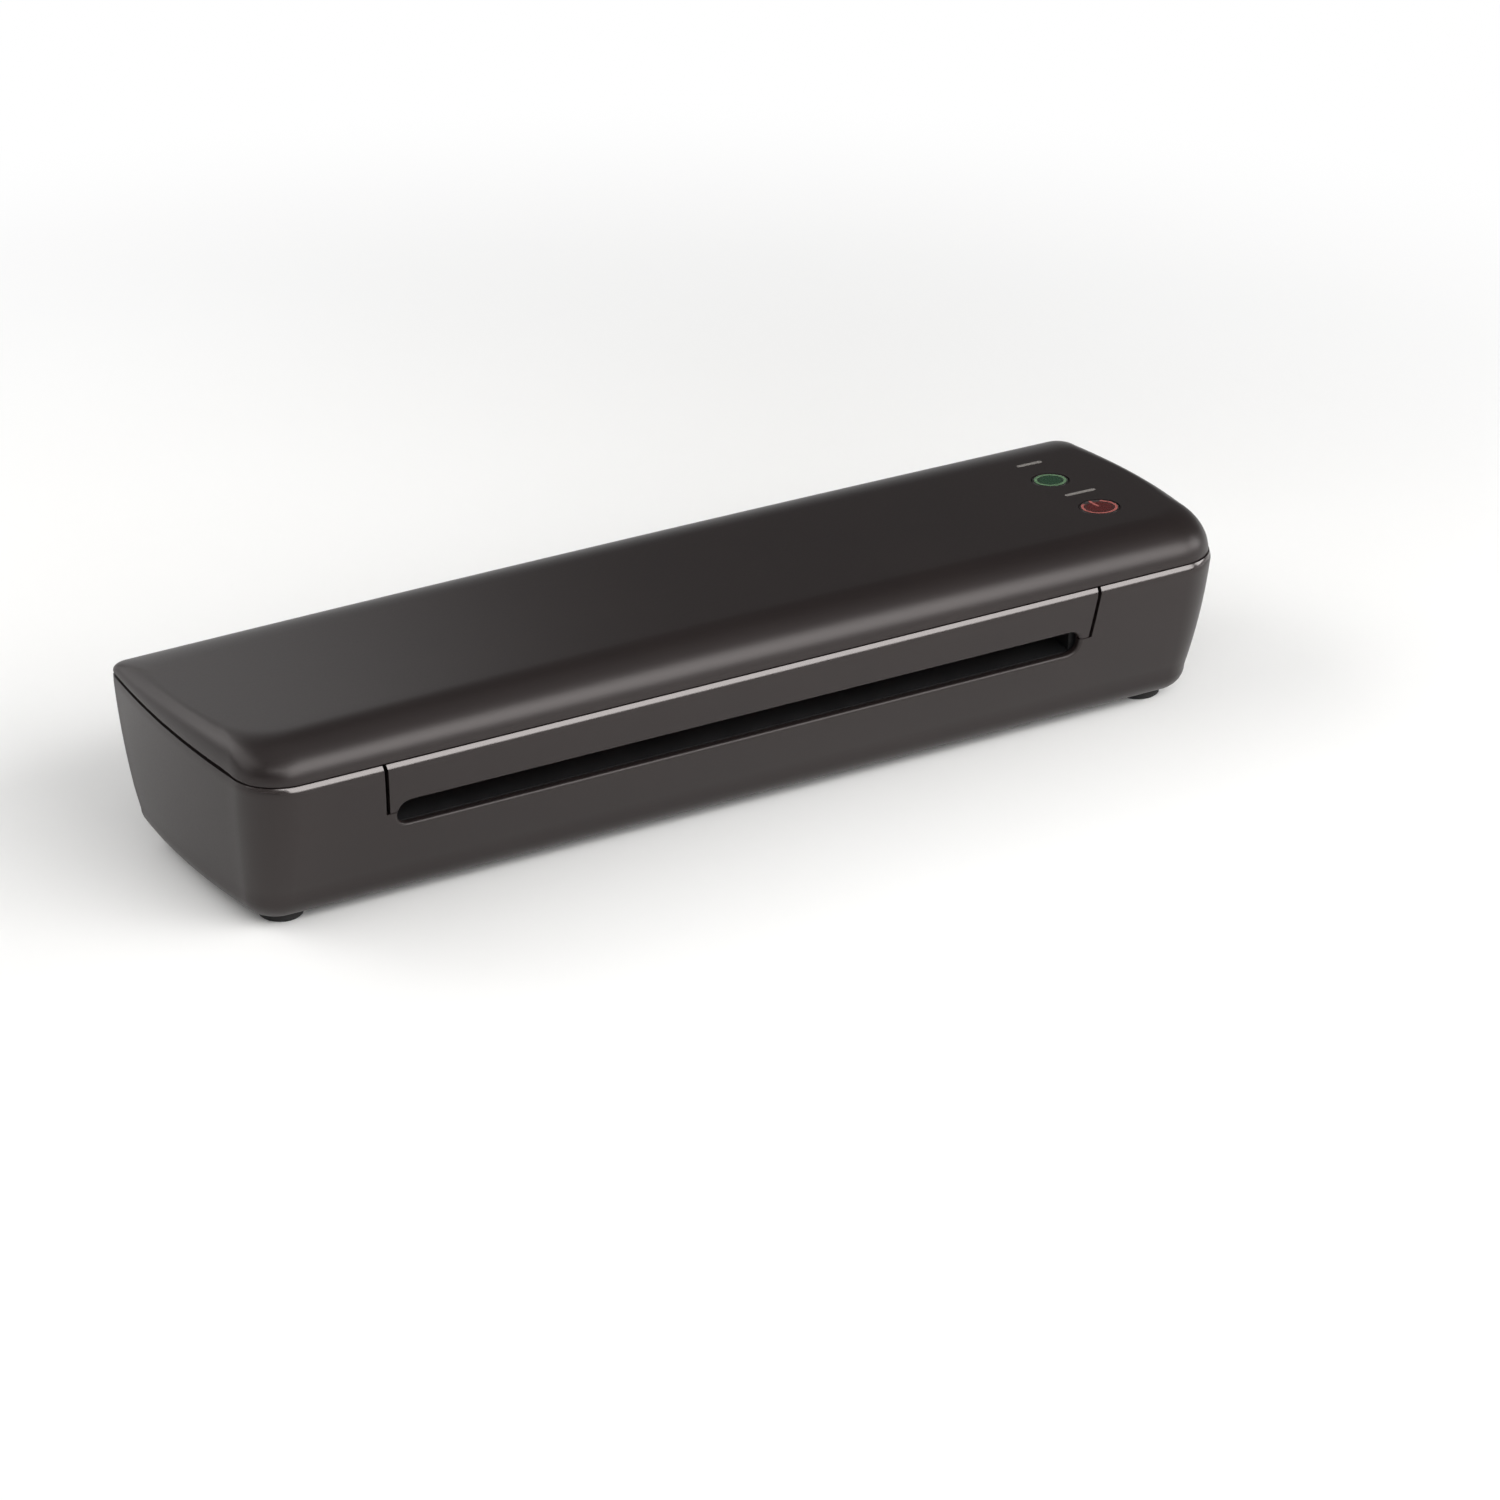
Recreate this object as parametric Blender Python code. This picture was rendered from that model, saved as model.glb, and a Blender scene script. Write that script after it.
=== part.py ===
# Pouch laminator: two moulded shells round a pair of driven rollers and two heated plates.
# Metres, +Z up, the exit slot faces -Y, the origin is on the table under the middle of the body.

import math

import bmesh
import bpy
from mathutils import Matrix, Vector

MM = 0.001

# Shells
BODY_LENGTH = 354 * MM
BODY_DEPTH = 101 * MM
RIM_HEIGHT = 52.5 * MM
FOOT_HEIGHT = 3 * MM
WALL = 2.4 * MM
FLOOR = 2.5 * MM
SIDE_BOW = 2.2 * MM
REAR_BOW = 0.5 * MM
FRONT_RADIUS = 20 * MM
REAR_RADIUS = 5 * MM
LEAST_RADIUS = 1.5 * MM
SIDE_DRAFT = 4.6 * MM
FRONT_DRAFT = 9.7 * MM
REAR_DRAFT = 9 * MM
BOTTOM_FILLET = 8 * MM
RIM_CHAMFER = 1.5 * MM
RIM_EDGE = 0.3 * MM
COVER_STEP = 1.6 * MM
SIDE_STEP = 0.1 * MM
COVER_RISE = 11.5 * MM
COVER_FALL = 1.4 * MM
COVER_TILT = 3 * MM
FRONT_ROLL = 16.5 * MM
SIDE_ROLL = 9 * MM
REAR_ROLL = 17 * MM
COVER_WALL = 2.2 * MM
GAP = 0.3 * MM

# Exit and entry slots
LEFT_END = 46 * MM
RIGHT_END = 52 * MM
SLIT_WIDTH = 0.9 * MM
SLIT_DEPTH = 17.4 * MM
SLIT_LEAN = 0.11
SLOT_END = 5.5 * MM
SLOT_TOP_DROP = 14.4 * MM
SLOT_HEIGHT = 8.4 * MM
SLOT_MOUTH = 1.2 * MM
THROAT_HEIGHT = 5 * MM
GUIDE_MARGIN = 3 * MM
EXIT_GUIDE_DEPTH = 10 * MM
ENTRY_GUIDE_DEPTH = 15 * MM

# Rollers and their frame
ROLLER_SETBACK = 31.5 * MM
ROLLER_RADIUS = 10 * MM
ROLLER_INSET = 6.5 * MM
NIP_GAP = 0.3 * MM
CORE_RADIUS = 4 * MM
JOURNAL_RADIUS = 3 * MM
RUNNING_GAP = 0.15 * MM
ROLLER_END_GAP = 1 * MM
PLATE_THICKNESS = 1.5 * MM
PLATE_FRONT = 14 * MM
PLATE_BEHIND_HEATER = 7 * MM
PLATE_FLANGE = 11 * MM
PAD_HEIGHT = 2.2 * MM
BLOCK_WIDTH = 12 * MM
BLOCK_HEIGHT = 12 * MM
BLOCK_LENGTH = 8 * MM
LIFT = 1.5 * MM
SPRING_HEIGHT = 6.5 * MM
SPRING_RADIUS = 2.6 * MM
SPRING_WIRE = 0.5 * MM
SPRING_TURNS = 4

# Gear train
ROLLER_TEETH = 20
PINION_TEETH = 12
PRESSURE_ANGLE = math.radians(25)
TOOTH_BACKLASH = 0.2 * MM
GEAR_WIDTH = 7 * MM
PINION_DIRECTION = math.radians(25)
MOTOR_RADIUS = 17 * MM
MOTOR_LENGTH = 18 * MM
MOTOR_OFFSET = 9 * MM
BRACKET_THICKNESS = 1.2 * MM

# Heaters
HEATER_TO_GUIDE = 3.8 * MM
HEATER_THICKNESS = 2.5 * MM
HEATER_RIB = 3 * MM
HEATER_OPENING = 3 * MM
HEATER_CLEARANCE = 3 * MM
ELEMENT_MARGIN = 22 * MM
THERMOSTAT_SIDE = 40 * MM
THERMOSTAT_RADIUS = 7 * MM
THERMOSTAT_CLEARANCE = 0.8 * MM
FUSE_SIDE = 41 * MM
FUSE_LENGTH = 22 * MM
FUSE_RADIUS = 2 * MM
ELEMENT_THICKNESS = 1.4 * MM

# Release lever
RELEASE_BEHIND = 19 * MM
RELEASE_RADIUS = 2.5 * MM
FINGER_REACH = 6 * MM
FINGER_RADIUS = 1.5 * MM
LEVER_WIDTH = 6 * MM
LEVER_THICKNESS = 3.5 * MM
LEVER_OVERHANG = 5 * MM
RELEASE_ANGLE = LIFT / FINGER_REACH

# Lamp, button and circuit board
CONTROLS_FROM_END = 30.7 * MM
LAMP_BEHIND = 12.2 * MM
LAMP_RADIUS = 6 * MM
BUTTON_AHEAD = 16.7 * MM
BUTTON_RADIUS = 6.5 * MM
BUTTON_TRAVEL = 1.0 * MM
CAP_RIM = 1.5 * MM
BOARD_DROP = 12 * MM
BOARD_THICKNESS = 1.6 * MM
BOARD_SIDE = 8 * MM
BOARD_END = 5 * MM

# Fastenings and small pieces
POST_RADIUS = 4.5 * MM
POST_DROP = 10 * MM
POST_WEB = 3 * MM
SCREW_HEAD = 3 * MM
SCREW_HEAD_HEIGHT = 2 * MM
SCREW_RADIUS = 1.5 * MM
SCREW_LENGTH = 11 * MM
FOOT_FROM_END = 21 * MM
FOOT_SPACING = 54 * MM
FOOT_RADIUS = 7 * MM
VENT_COUNT = 9
VENT_PITCH = 22 * MM
VENT_LENGTH = 13 * MM
VENT_WEB = 4.5 * MM
VENT_WIDTH = 2.6 * MM
GLAND_FROM_END = 31 * MM
TERMINAL_WIDTH = 18 * MM
TERMINAL_DEPTH = 14 * MM
TERMINAL_HEIGHT = 12 * MM
GLAND_Z = 20 * MM
GLAND_RADIUS = 5 * MM

# Facets
EDGE_STEPS = 8
CORNER_STEPS = 6
SIDE_STEPS = 5
ROUND_SIDES = 24
SMALL_SIDES = 14
SIDE_POINTS = 2 * CORNER_STEPS + SIDE_STEPS + 1

# Heights and places that follow from the sizes above
SLOT_MIDDLE = (LEFT_END - RIGHT_END) / 2
SLIT_SPACING = BODY_LENGTH - LEFT_END - RIGHT_END
SLOT_LENGTH = SLIT_SPACING - 2 * SLOT_END
ROLLER_LENGTH = SLOT_LENGTH - 2 * ROLLER_INSET
GLAND_X = GLAND_FROM_END - BODY_LENGTH / 2
FRONT_FACE = -(BODY_DEPTH + LEVER_OVERHANG) / 2
REAR_FACE = FRONT_FACE + BODY_DEPTH
BODY_Y = (FRONT_FACE + REAR_FACE) / 2
ROLLER_Y = FRONT_FACE + ROLLER_SETBACK
FLOOR_TOP = FOOT_HEIGHT + FLOOR
SLOT_TOP = RIM_HEIGHT - SLOT_TOP_DROP
SLOT_BOTTOM = SLOT_TOP - SLOT_HEIGHT
NIP_Z = (SLOT_TOP + SLOT_BOTTOM) / 2
LOWER_Z = NIP_Z - ROLLER_RADIUS - NIP_GAP / 2
UPPER_Z = NIP_Z + ROLLER_RADIUS + NIP_GAP / 2
COVER_BASE = RIM_HEIGHT + GAP
PLATE_INNER = ROLLER_LENGTH / 2 + ROLLER_END_GAP + BLOCK_LENGTH
PLATE_OUTER = PLATE_INNER + PLATE_THICKNESS
PLATE_BOTTOM = FLOOR_TOP + PAD_HEIGHT + GAP
PLATE_TOP = UPPER_Z + BLOCK_HEIGHT / 2 + SPRING_HEIGHT + 2 * GAP + PLATE_THICKNESS
SPRING_X = PLATE_INNER - BLOCK_LENGTH / 2
MODULE = (UPPER_Z - LOWER_Z) / ROLLER_TEETH
GEAR_START = SLOT_MIDDLE + PLATE_OUTER + 2 * MM
GEAR_END = GEAR_START + GEAR_WIDTH
BRACKET_X = GEAR_END + 2 * MM
MOTOR_FACE = BRACKET_X + BRACKET_THICKNESS + GAP
PINION_REACH = MODULE * (ROLLER_TEETH + PINION_TEETH) / 2
PINION_Y = ROLLER_Y + PINION_REACH * math.cos(PINION_DIRECTION)
PINION_Z = LOWER_Z + PINION_REACH * math.sin(PINION_DIRECTION)
MOTOR_Y = PINION_Y + MOTOR_OFFSET
HEATER_FRONT = ROLLER_Y + ROLLER_RADIUS + HEATER_CLEARANCE
HEATER_LENGTH = 2 * (PLATE_INNER - GAP)
ELEMENT_LENGTH = HEATER_LENGTH - 2 * ELEMENT_MARGIN
RELEASE_Y = ROLLER_Y + RELEASE_BEHIND
LEDGE_REACH = RELEASE_BEHIND - FINGER_REACH + 2 * FINGER_RADIUS
LEDGE_TOP = UPPER_Z + BLOCK_HEIGHT / 2
LEDGE_BOTTOM = LEDGE_TOP - 3 * MM
RELEASE_Z = LEDGE_BOTTOM - FINGER_RADIUS - GAP
LEVER_X = GEAR_END - LEVER_WIDTH / 2
LAMP_X = BODY_LENGTH / 2 - CONTROLS_FROM_END
LAMP_Y = BODY_Y + LAMP_BEHIND
BUTTON_X = LAMP_X
BUTTON_Y = BODY_Y - BUTTON_AHEAD
BOARD_TOP = COVER_BASE + COVER_RISE - BOARD_DROP
BOARD_HEIGHT = BOARD_TOP - BOARD_THICKNESS
MOTOR_Z = (PLATE_BOTTOM + BRACKET_THICKNESS + BOARD_HEIGHT) / 2


class Solid:
    """Collects closed bodies in one mesh."""

    def __init__(self):
        self.mesh = bmesh.new()

    def loft(self, loops, right=None):
        # a ring of right points up its right side is closed by a strip, another one by a single face
        rings = [[self.mesh.verts.new(point) for point in loop] for loop in loops]
        for lower, upper in zip(rings, rings[1:]):
            for i in range(len(lower)):
                j = (i + 1) % len(lower)
                self.mesh.faces.new((lower[i], lower[j], upper[j], upper[i]))
        for ring in (rings[0], rings[-1]):
            if right:
                self.strip(ring, right)
            else:
                self.mesh.faces.new(ring)
        return self

    def strip(self, ring, right):
        # faces laid straight across a ring, from the middle of its right side to that of its left
        for k in range(len(ring) // 2 - 1 + right % 2):
            near, far = (right - 1) // 2 - k, right // 2 + k
            corners = [ring[i % len(ring)] for i in (near, near - 1, far + 1, far)]
            self.mesh.faces.new(list(dict.fromkeys(corners)))

    def prism(self, axis, outline, start, end):
        place = {
            "X": lambda a, u, v: (a, u, v),
            "Y": lambda a, u, v: (u, a, v),
            "Z": lambda a, u, v: (u, v, a),
        }[axis]
        return self.loft([[place(a, u, v) for u, v in outline] for a in (start, end)])

    def box(self, x, y, z):
        outline = [(y[0], z[0]), (y[1], z[0]), (y[1], z[1]), (y[0], z[1])]
        return self.prism("X", outline, x[0], x[1])

    def turned(self, axis, centre, profile, sides=ROUND_SIDES):
        # profile: distance along the axis and radius, from one end to the other
        place = {
            "X": lambda a, u, v: (a, centre[0] + u, centre[1] + v),
            "Y": lambda a, u, v: (centre[0] + u, a, centre[1] + v),
            "Z": lambda a, u, v: (centre[0] + u, centre[1] + v, a),
        }[axis]
        loops = []
        for along, radius in profile:
            turn = [2 * math.pi * k / sides for k in range(sides)]
            loops.append([place(along, radius * math.cos(t), radius * math.sin(t)) for t in turn])
        return self.loft(loops)

    def rod(self, axis, centre, radius, start, end, sides=ROUND_SIDES):
        return self.turned(axis, centre, [(start, radius), (end, radius)], sides)

    def ring(self, axis, centre, outer, inner, start, end, sides=ROUND_SIDES):
        # a tube: up the outside and back down the bore, closed into one loop
        profile = [(start, outer), (end, outer), (end, inner), (start, inner)]
        place = {
            "X": lambda a, u, v: (a, centre[0] + u, centre[1] + v),
            "Y": lambda a, u, v: (centre[0] + u, a, centre[1] + v),
            "Z": lambda a, u, v: (centre[0] + u, centre[1] + v, a),
        }[axis]
        rings = []
        for along, radius in profile:
            turn = [2 * math.pi * k / sides for k in range(sides)]
            points = [place(along, radius * math.cos(t), radius * math.sin(t)) for t in turn]
            rings.append([self.mesh.verts.new(point) for point in points])
        for k, ring in enumerate(rings):
            following = rings[(k + 1) % len(rings)]
            for i in range(sides):
                j = (i + 1) % sides
                self.mesh.faces.new((ring[i], ring[j], following[j], following[i]))
        return self

    def coil(self, x, y, bottom, top, radius, wire, turns, steps=9, sides=5):
        # a helical spring along Z whose wire stays inside bottom and top
        count = turns * steps
        loops = []
        for i in range(count + 1):
            angle = 2 * math.pi * i / steps
            height = bottom + wire + (top - bottom - 2 * wire) * i / count
            out = Vector((math.cos(angle), math.sin(angle), 0))
            centre = Vector((x, y, height)) + out * radius
            turn = [2 * math.pi * k / sides for k in range(sides)]
            across, up = out * wire, Vector((0, 0, wire))
            loops.append([centre + across * math.cos(t) + up * math.sin(t) for t in turn])
        return self.loft(loops)

    def guide(self, name):
        # a cutter or a joined shape, kept out of the model itself
        shape = self.make(name)
        shape.hide_render = True
        shape.hide_viewport = False
        shape.display_type = "WIRE"
        return shape

    def make(self, name):
        bmesh.ops.recalc_face_normals(self.mesh, faces=self.mesh.faces)
        data = bpy.data.meshes.new(name)
        self.mesh.to_mesh(data)
        self.mesh.free()
        shape = bpy.data.objects.new(name, data)
        bpy.context.scene.collection.objects.link(shape)
        return shape

    def piece(self, name, finish, origin=None):
        shape = self.make(name)
        shape.data.materials.append(finish)
        shape.data.shade_smooth()
        shape.data.set_sharp_from_angle(angle=math.radians(30))
        if origin:
            shape.data.transform(Matrix.Translation(-Vector(origin)))
            shape.location = origin
        return shape


def combine(target, other, operation):
    change = target.modifiers.new(operation.lower(), "BOOLEAN")
    change.object = other
    change.operation = operation
    change.solver = "EXACT"
    change.use_self = True


def finish(name, colour, roughness, metallic=0.0):
    made = bpy.data.materials.new(name)
    made.use_nodes = True
    shader = made.node_tree.nodes["Principled BSDF"]
    shader.inputs["Base Color"].default_value = (*colour, 1.0)
    shader.inputs["Roughness"].default_value = roughness
    shader.inputs["Metallic"].default_value = metallic
    return made


def slope(value):
    # the walls leave the rim nearly upright and lean in more towards the bottom
    return 0.5 * value + 0.5 * value * value


def shell_outline(side, front, rear, shrink):
    half = BODY_LENGTH / 2 - SIDE_BOW - side
    near = FRONT_FACE + front
    far = REAR_FACE - REAR_BOW - rear
    round_front = max(FRONT_RADIUS - shrink, LEAST_RADIUS)
    round_rear = max(REAR_RADIUS - shrink, LEAST_RADIUS)
    right = []

    def arc(x, y, radius, start):
        for k in range(CORNER_STEPS):
            angle = math.radians(start + 90 * k / CORNER_STEPS)
            right.append((x + radius * math.cos(angle), y + radius * math.sin(angle)))

    arc(half - round_front, near + round_front, round_front, -90)
    low, high = near + round_front, far - round_rear
    for k in range(SIDE_STEPS):
        bow = 2 * k / SIDE_STEPS - 1
        right.append((half + SIDE_BOW * (1 - bow * bow), low + (high - low) * k / SIDE_STEPS))
    arc(half - round_rear, far - round_rear, round_rear, 0)
    span = half - round_rear
    right.append((span, far))
    rear_edge = []
    for k in range(1, EDGE_STEPS):
        share = 1 - 2 * k / EDGE_STEPS
        rear_edge.append((span * share, far + REAR_BOW * (1 - share * share)))
    left = [(-x, y) for x, y in reversed(right)]
    front_edge = []
    for k in range(1, EDGE_STEPS):
        front_edge.append((left[-1][0] + (right[0][0] - left[-1][0]) * k / EDGE_STEPS, near))
    return right + rear_edge + left + front_edge


def wall_outline(depth_share, inset, front_inset):
    lean = slope(depth_share)
    return shell_outline(
        SIDE_DRAFT * lean + inset,
        FRONT_DRAFT * lean + front_inset,
        REAR_DRAFT * lean + inset,
        SIDE_DRAFT * lean + (inset + front_inset) / 2,
    )


def tray_loops():
    fillet_top = FOOT_HEIGHT + BOTTOM_FILLET
    depth = RIM_HEIGHT - fillet_top
    loops = []

    def add(share, inset, height, front_inset=None):
        front = inset if front_inset is None else front_inset
        loops.append([(x, y, height) for x, y in wall_outline(share, inset, front)])

    for step in range(4):
        angle = math.radians(30 * step)
        add(1, BOTTOM_FILLET * (1 - math.sin(angle)), fillet_top - BOTTOM_FILLET * math.cos(angle))
    for share in (0.75, 0.5, 0.25):
        add(share, 0, RIM_HEIGHT - depth * share)
    add(RIM_CHAMFER / depth, 0, RIM_HEIGHT - RIM_CHAMFER)
    add(0, RIM_EDGE, RIM_HEIGHT, RIM_CHAMFER)
    add(0, RIM_CHAMFER + WALL, RIM_HEIGHT)
    for share in (0.25, 0.5, 0.75):
        add(share, WALL, RIM_HEIGHT - depth * share)
    add(1, WALL, fillet_top)
    add(1, BOTTOM_FILLET, FLOOR_TOP)
    return loops


def cover_height(x, y):
    return COVER_RISE - COVER_TILT * (y - BODY_Y) / BODY_DEPTH - COVER_FALL * (2 * x / BODY_LENGTH) ** 2


def roll(share):
    return math.sqrt(1 - (1 - share) ** 2)


def cover_loop(share, drop):
    # share: 0 at the cover's edge, 1 where its rolled edges end
    points = shell_outline(
        SIDE_STEP + share * SIDE_ROLL,
        COVER_STEP + share * FRONT_ROLL,
        SIDE_STEP + share * REAR_ROLL,
        0,
    )
    return [(x, y, max(COVER_BASE + cover_height(x, y) * roll(share) - drop, COVER_BASE)) for x, y in points]


def cover_loops():
    outer = [cover_loop(share, 0) for share in (0, 0.02, 0.07, 0.15, 0.28, 0.45, 0.7, 1)]
    edge = COVER_WALL / min(FRONT_ROLL, SIDE_ROLL, REAR_ROLL)
    lip = [(x, y, COVER_BASE) for x, y, z in cover_loop(edge, 0)]
    inner = [cover_loop(edge + (1 - edge) * k, COVER_WALL) for k in (0, 0.15, 0.45, 1)]
    return list(reversed(outer)) + [lip] + inner


def slot_outline(grow):
    straight = SLOT_LENGTH / 2 - SLOT_HEIGHT / 2
    radius = SLOT_HEIGHT / 2 + grow
    points = []
    for sign in (1, -1):
        for k in range(9):
            angle = math.radians(-90 + 22.5 * k)
            points.append(
                (
                    SLOT_MIDDLE + sign * (straight + radius * math.cos(angle)),
                    NIP_Z + sign * radius * math.sin(angle),
                )
            )
    return points


def slot_loops(face, draft, inward):
    # the flared mouth follows the wall's lean, then the slot runs straight through
    over = 1.5 * MM
    loops = []
    for depth, grow in ((-over, SLOT_MOUTH + over), (SLOT_MOUTH, 0), (13 * MM, 0)):
        outline = slot_outline(grow)
        loops.append([(x, face + inward * (draft * wall_lean(z) + depth), z) for x, z in outline])
    return loops


def lip_outline(grow):
    # the strip between the two leaning slits, wider by grow on both sides and at its foot
    top = RIM_HEIGHT + 2 * MM
    bottom = RIM_HEIGHT - SLIT_DEPTH - grow * GAP / SLIT_WIDTH
    half_top = SLIT_SPACING / 2 - SLIT_WIDTH / 2 + grow + SLIT_LEAN * 2 * MM
    half_bottom = half_top - SLIT_LEAN * (top - bottom)
    return [
        (SLOT_MIDDLE - half_bottom, bottom),
        (SLOT_MIDDLE + half_bottom, bottom),
        (SLOT_MIDDLE + half_top, top),
        (SLOT_MIDDLE - half_top, top),
    ]


def wall_lean(height):
    return slope((RIM_HEIGHT - height) / (RIM_HEIGHT - FOOT_HEIGHT - BOTTOM_FILLET))


EXIT_GUIDE_FRONT = FRONT_FACE + FRONT_DRAFT * wall_lean(SLOT_BOTTOM - GUIDE_MARGIN) + WALL + GAP
ENTRY_GUIDE_REAR = REAR_FACE - REAR_BOW - REAR_DRAFT * wall_lean(SLOT_BOTTOM - GUIDE_MARGIN) - WALL - GAP
HEATER_REAR = ENTRY_GUIDE_REAR - ENTRY_GUIDE_DEPTH - HEATER_TO_GUIDE
PLATE_REAR = HEATER_REAR + PLATE_BEHIND_HEATER
GLAND_FLANGE = GLAND_RADIUS + 2 * MM
GLAND_SEAT = REAR_FACE - REAR_BOW - REAR_DRAFT * wall_lean(GLAND_Z + GLAND_FLANGE) + GAP
POST_BOTTOM = RIM_HEIGHT - POST_DROP
FOOT_X = BODY_LENGTH / 2 - FOOT_FROM_END
CORNERS = [
    ("front_left", -FOOT_X, BODY_Y - FOOT_SPACING / 2),
    ("front_right", FOOT_X, BODY_Y - FOOT_SPACING / 2),
    ("rear_left", -FOOT_X, BODY_Y + FOOT_SPACING / 2),
    ("rear_right", FOOT_X, BODY_Y + FOOT_SPACING / 2),
]
FLANGE_X = PLATE_INNER - PLATE_FLANGE / 2
PLATE_SCREW_END = 7 * MM
FLANGE_Y = (ROLLER_Y - PLATE_FRONT + PLATE_SCREW_END, PLATE_REAR - PLATE_SCREW_END)
PLATE_SCREWS = [
    ("front_left", SLOT_MIDDLE - FLANGE_X, FLANGE_Y[0]),
    ("front_right", SLOT_MIDDLE + FLANGE_X, FLANGE_Y[0]),
    ("rear_left", SLOT_MIDDLE - FLANGE_X, FLANGE_Y[1]),
    ("rear_right", SLOT_MIDDLE + FLANGE_X, FLANGE_Y[1]),
]
PAD_RADIUS = PLATE_FLANGE / 2 - 1 * MM
PILOT_RADIUS = SCREW_RADIUS + RUNNING_GAP
PILOT_DEPTH = FLOOR + PAD_HEIGHT - 1 * MM
BRACKET_FOOT = 14 * MM
BRACKET_SCREWS = [
    ("front", BRACKET_X + BRACKET_FOOT / 2, MOTOR_Y - MOTOR_RADIUS + PAD_RADIUS),
    ("rear", BRACKET_X + BRACKET_FOOT / 2, MOTOR_Y + MOTOR_RADIUS - PAD_RADIUS),
]
LEVER_END = REAR_FACE + LEVER_OVERHANG
LEVER_DROP = (LEVER_END - RELEASE_Y) * math.sin(RELEASE_ANGLE)
BOARD_X = (LAMP_X - BOARD_SIDE, LAMP_X + BOARD_SIDE)
BOARD_Y = (BUTTON_Y - BOARD_END, LAMP_Y + BOARD_END)
BOARD_POST = 2.5 * MM
BOARD_PILOT = 1 * MM
BOARD_POSTS = [(x, (BUTTON_Y + LAMP_Y) / 2) for x in (BOARD_X[0] + BOARD_POST, BOARD_X[1] - BOARD_POST)]


def make_base(black):
    base = Solid().loft(tray_loops()).piece("base_housing", black)
    combine(base, base_bosses(), "UNION")
    combine(base, base_cuts(), "DIFFERENCE")


def base_bosses():
    added = Solid()
    inside = FLOOR_TOP - FLOOR / 2
    for name, x, y in CORNERS:
        added.rod("Z", (x, y), POST_RADIUS, inside, POST_BOTTOM - GAP, SMALL_SIDES)
    for name, x, y in PLATE_SCREWS + BRACKET_SCREWS:
        added.rod("Z", (x, y), PAD_RADIUS, inside, FLOOR_TOP + PAD_HEIGHT, SMALL_SIDES)
    return added.guide("base_bosses")


def base_cuts():
    cut = Solid()
    cut.prism("Y", lip_outline(SLIT_WIDTH), FRONT_FACE - 5 * MM, FRONT_FACE + 12 * MM)
    cut.loft(slot_loops(FRONT_FACE, FRONT_DRAFT, 1))
    cut.loft(slot_loops(REAR_FACE - REAR_BOW / 2, REAR_DRAFT, -1))
    lever_low = RELEASE_Z - LEVER_DROP - LEVER_THICKNESS - 1 * MM
    lever_high = RELEASE_Z + LEVER_THICKNESS
    cut.box(
        (LEVER_X - LEVER_WIDTH / 2 - 1 * MM, LEVER_X + LEVER_WIDTH / 2 + 1 * MM),
        (REAR_FACE - 13 * MM, REAR_FACE + 5 * MM),
        (lever_low, lever_high),
    )
    cut.rod("Y", (GLAND_X, GLAND_Z), GLAND_RADIUS + GAP, REAR_FACE - 18 * MM, REAR_FACE + 5 * MM)
    for name, x, y in CORNERS:
        seat = POST_BOTTOM - GAP - POST_WEB
        cut.rod("Z", (x, y), SCREW_HEAD + GAP, FOOT_HEIGHT - 1 * MM, seat, SMALL_SIDES)
        cut.rod("Z", (x, y), PILOT_RADIUS, FOOT_HEIGHT - 1.5 * MM, POST_BOTTOM + 1 * MM, SMALL_SIDES)
    for name, x, y in PLATE_SCREWS + BRACKET_SCREWS:
        top = FLOOR_TOP + PAD_HEIGHT
        cut.rod("Z", (x, y), PILOT_RADIUS, top - PILOT_DEPTH, top + 1 * MM, SMALL_SIDES)
    middle = (HEATER_FRONT + HEATER_REAR) / 2
    for row in (middle - (VENT_LENGTH + VENT_WEB) / 2, middle + (VENT_LENGTH + VENT_WEB) / 2):
        for k in range(VENT_COUNT):
            x = SLOT_MIDDLE + (k - (VENT_COUNT - 1) / 2) * VENT_PITCH
            cut.box(
                (x - VENT_WIDTH / 2, x + VENT_WIDTH / 2),
                (row - VENT_LENGTH / 2, row + VENT_LENGTH / 2),
                (FOOT_HEIGHT - 1 * MM, FLOOR_TOP + 0.5 * MM),
            )
    return cut.guide("base_cuts")


def make_cover(black):
    cover = Solid().loft(cover_loops(), SIDE_POINTS).piece("top_cover", black)
    added = Solid()
    for name, x, y in CORNERS:
        top = COVER_BASE + cover_height(x, y) - COVER_WALL / 2
        added.rod("Z", (x, y), POST_RADIUS, POST_BOTTOM, top, SMALL_SIDES)
    for x, y in BOARD_POSTS:
        top = COVER_BASE + cover_height(x, y) - COVER_WALL / 2
        added.rod("Z", (x, y), BOARD_POST, BOARD_TOP + GAP, top, SMALL_SIDES)
    combine(cover, added.guide("cover_bosses"), "UNION")
    cut = Solid()
    over = COVER_BASE + 2 * COVER_RISE
    cut.rod("Z", (LAMP_X, LAMP_Y), LAMP_RADIUS + GAP, BOARD_TOP, over)
    cut.rod("Z", (BUTTON_X, BUTTON_Y), BUTTON_RADIUS + GAP, BOARD_TOP, over)
    for name, x, y in CORNERS:
        end = POST_BOTTOM + SCREW_LENGTH - POST_WEB
        cut.rod("Z", (x, y), PILOT_RADIUS, POST_BOTTOM - 1 * MM, end, SMALL_SIDES)
    for x, y in BOARD_POSTS:
        cut.rod("Z", (x, y), BOARD_PILOT, BOARD_TOP, BOARD_TOP + 4 * MM, SMALL_SIDES)
    combine(cover, cut.guide("cover_cuts"), "DIFFERENCE")


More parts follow.
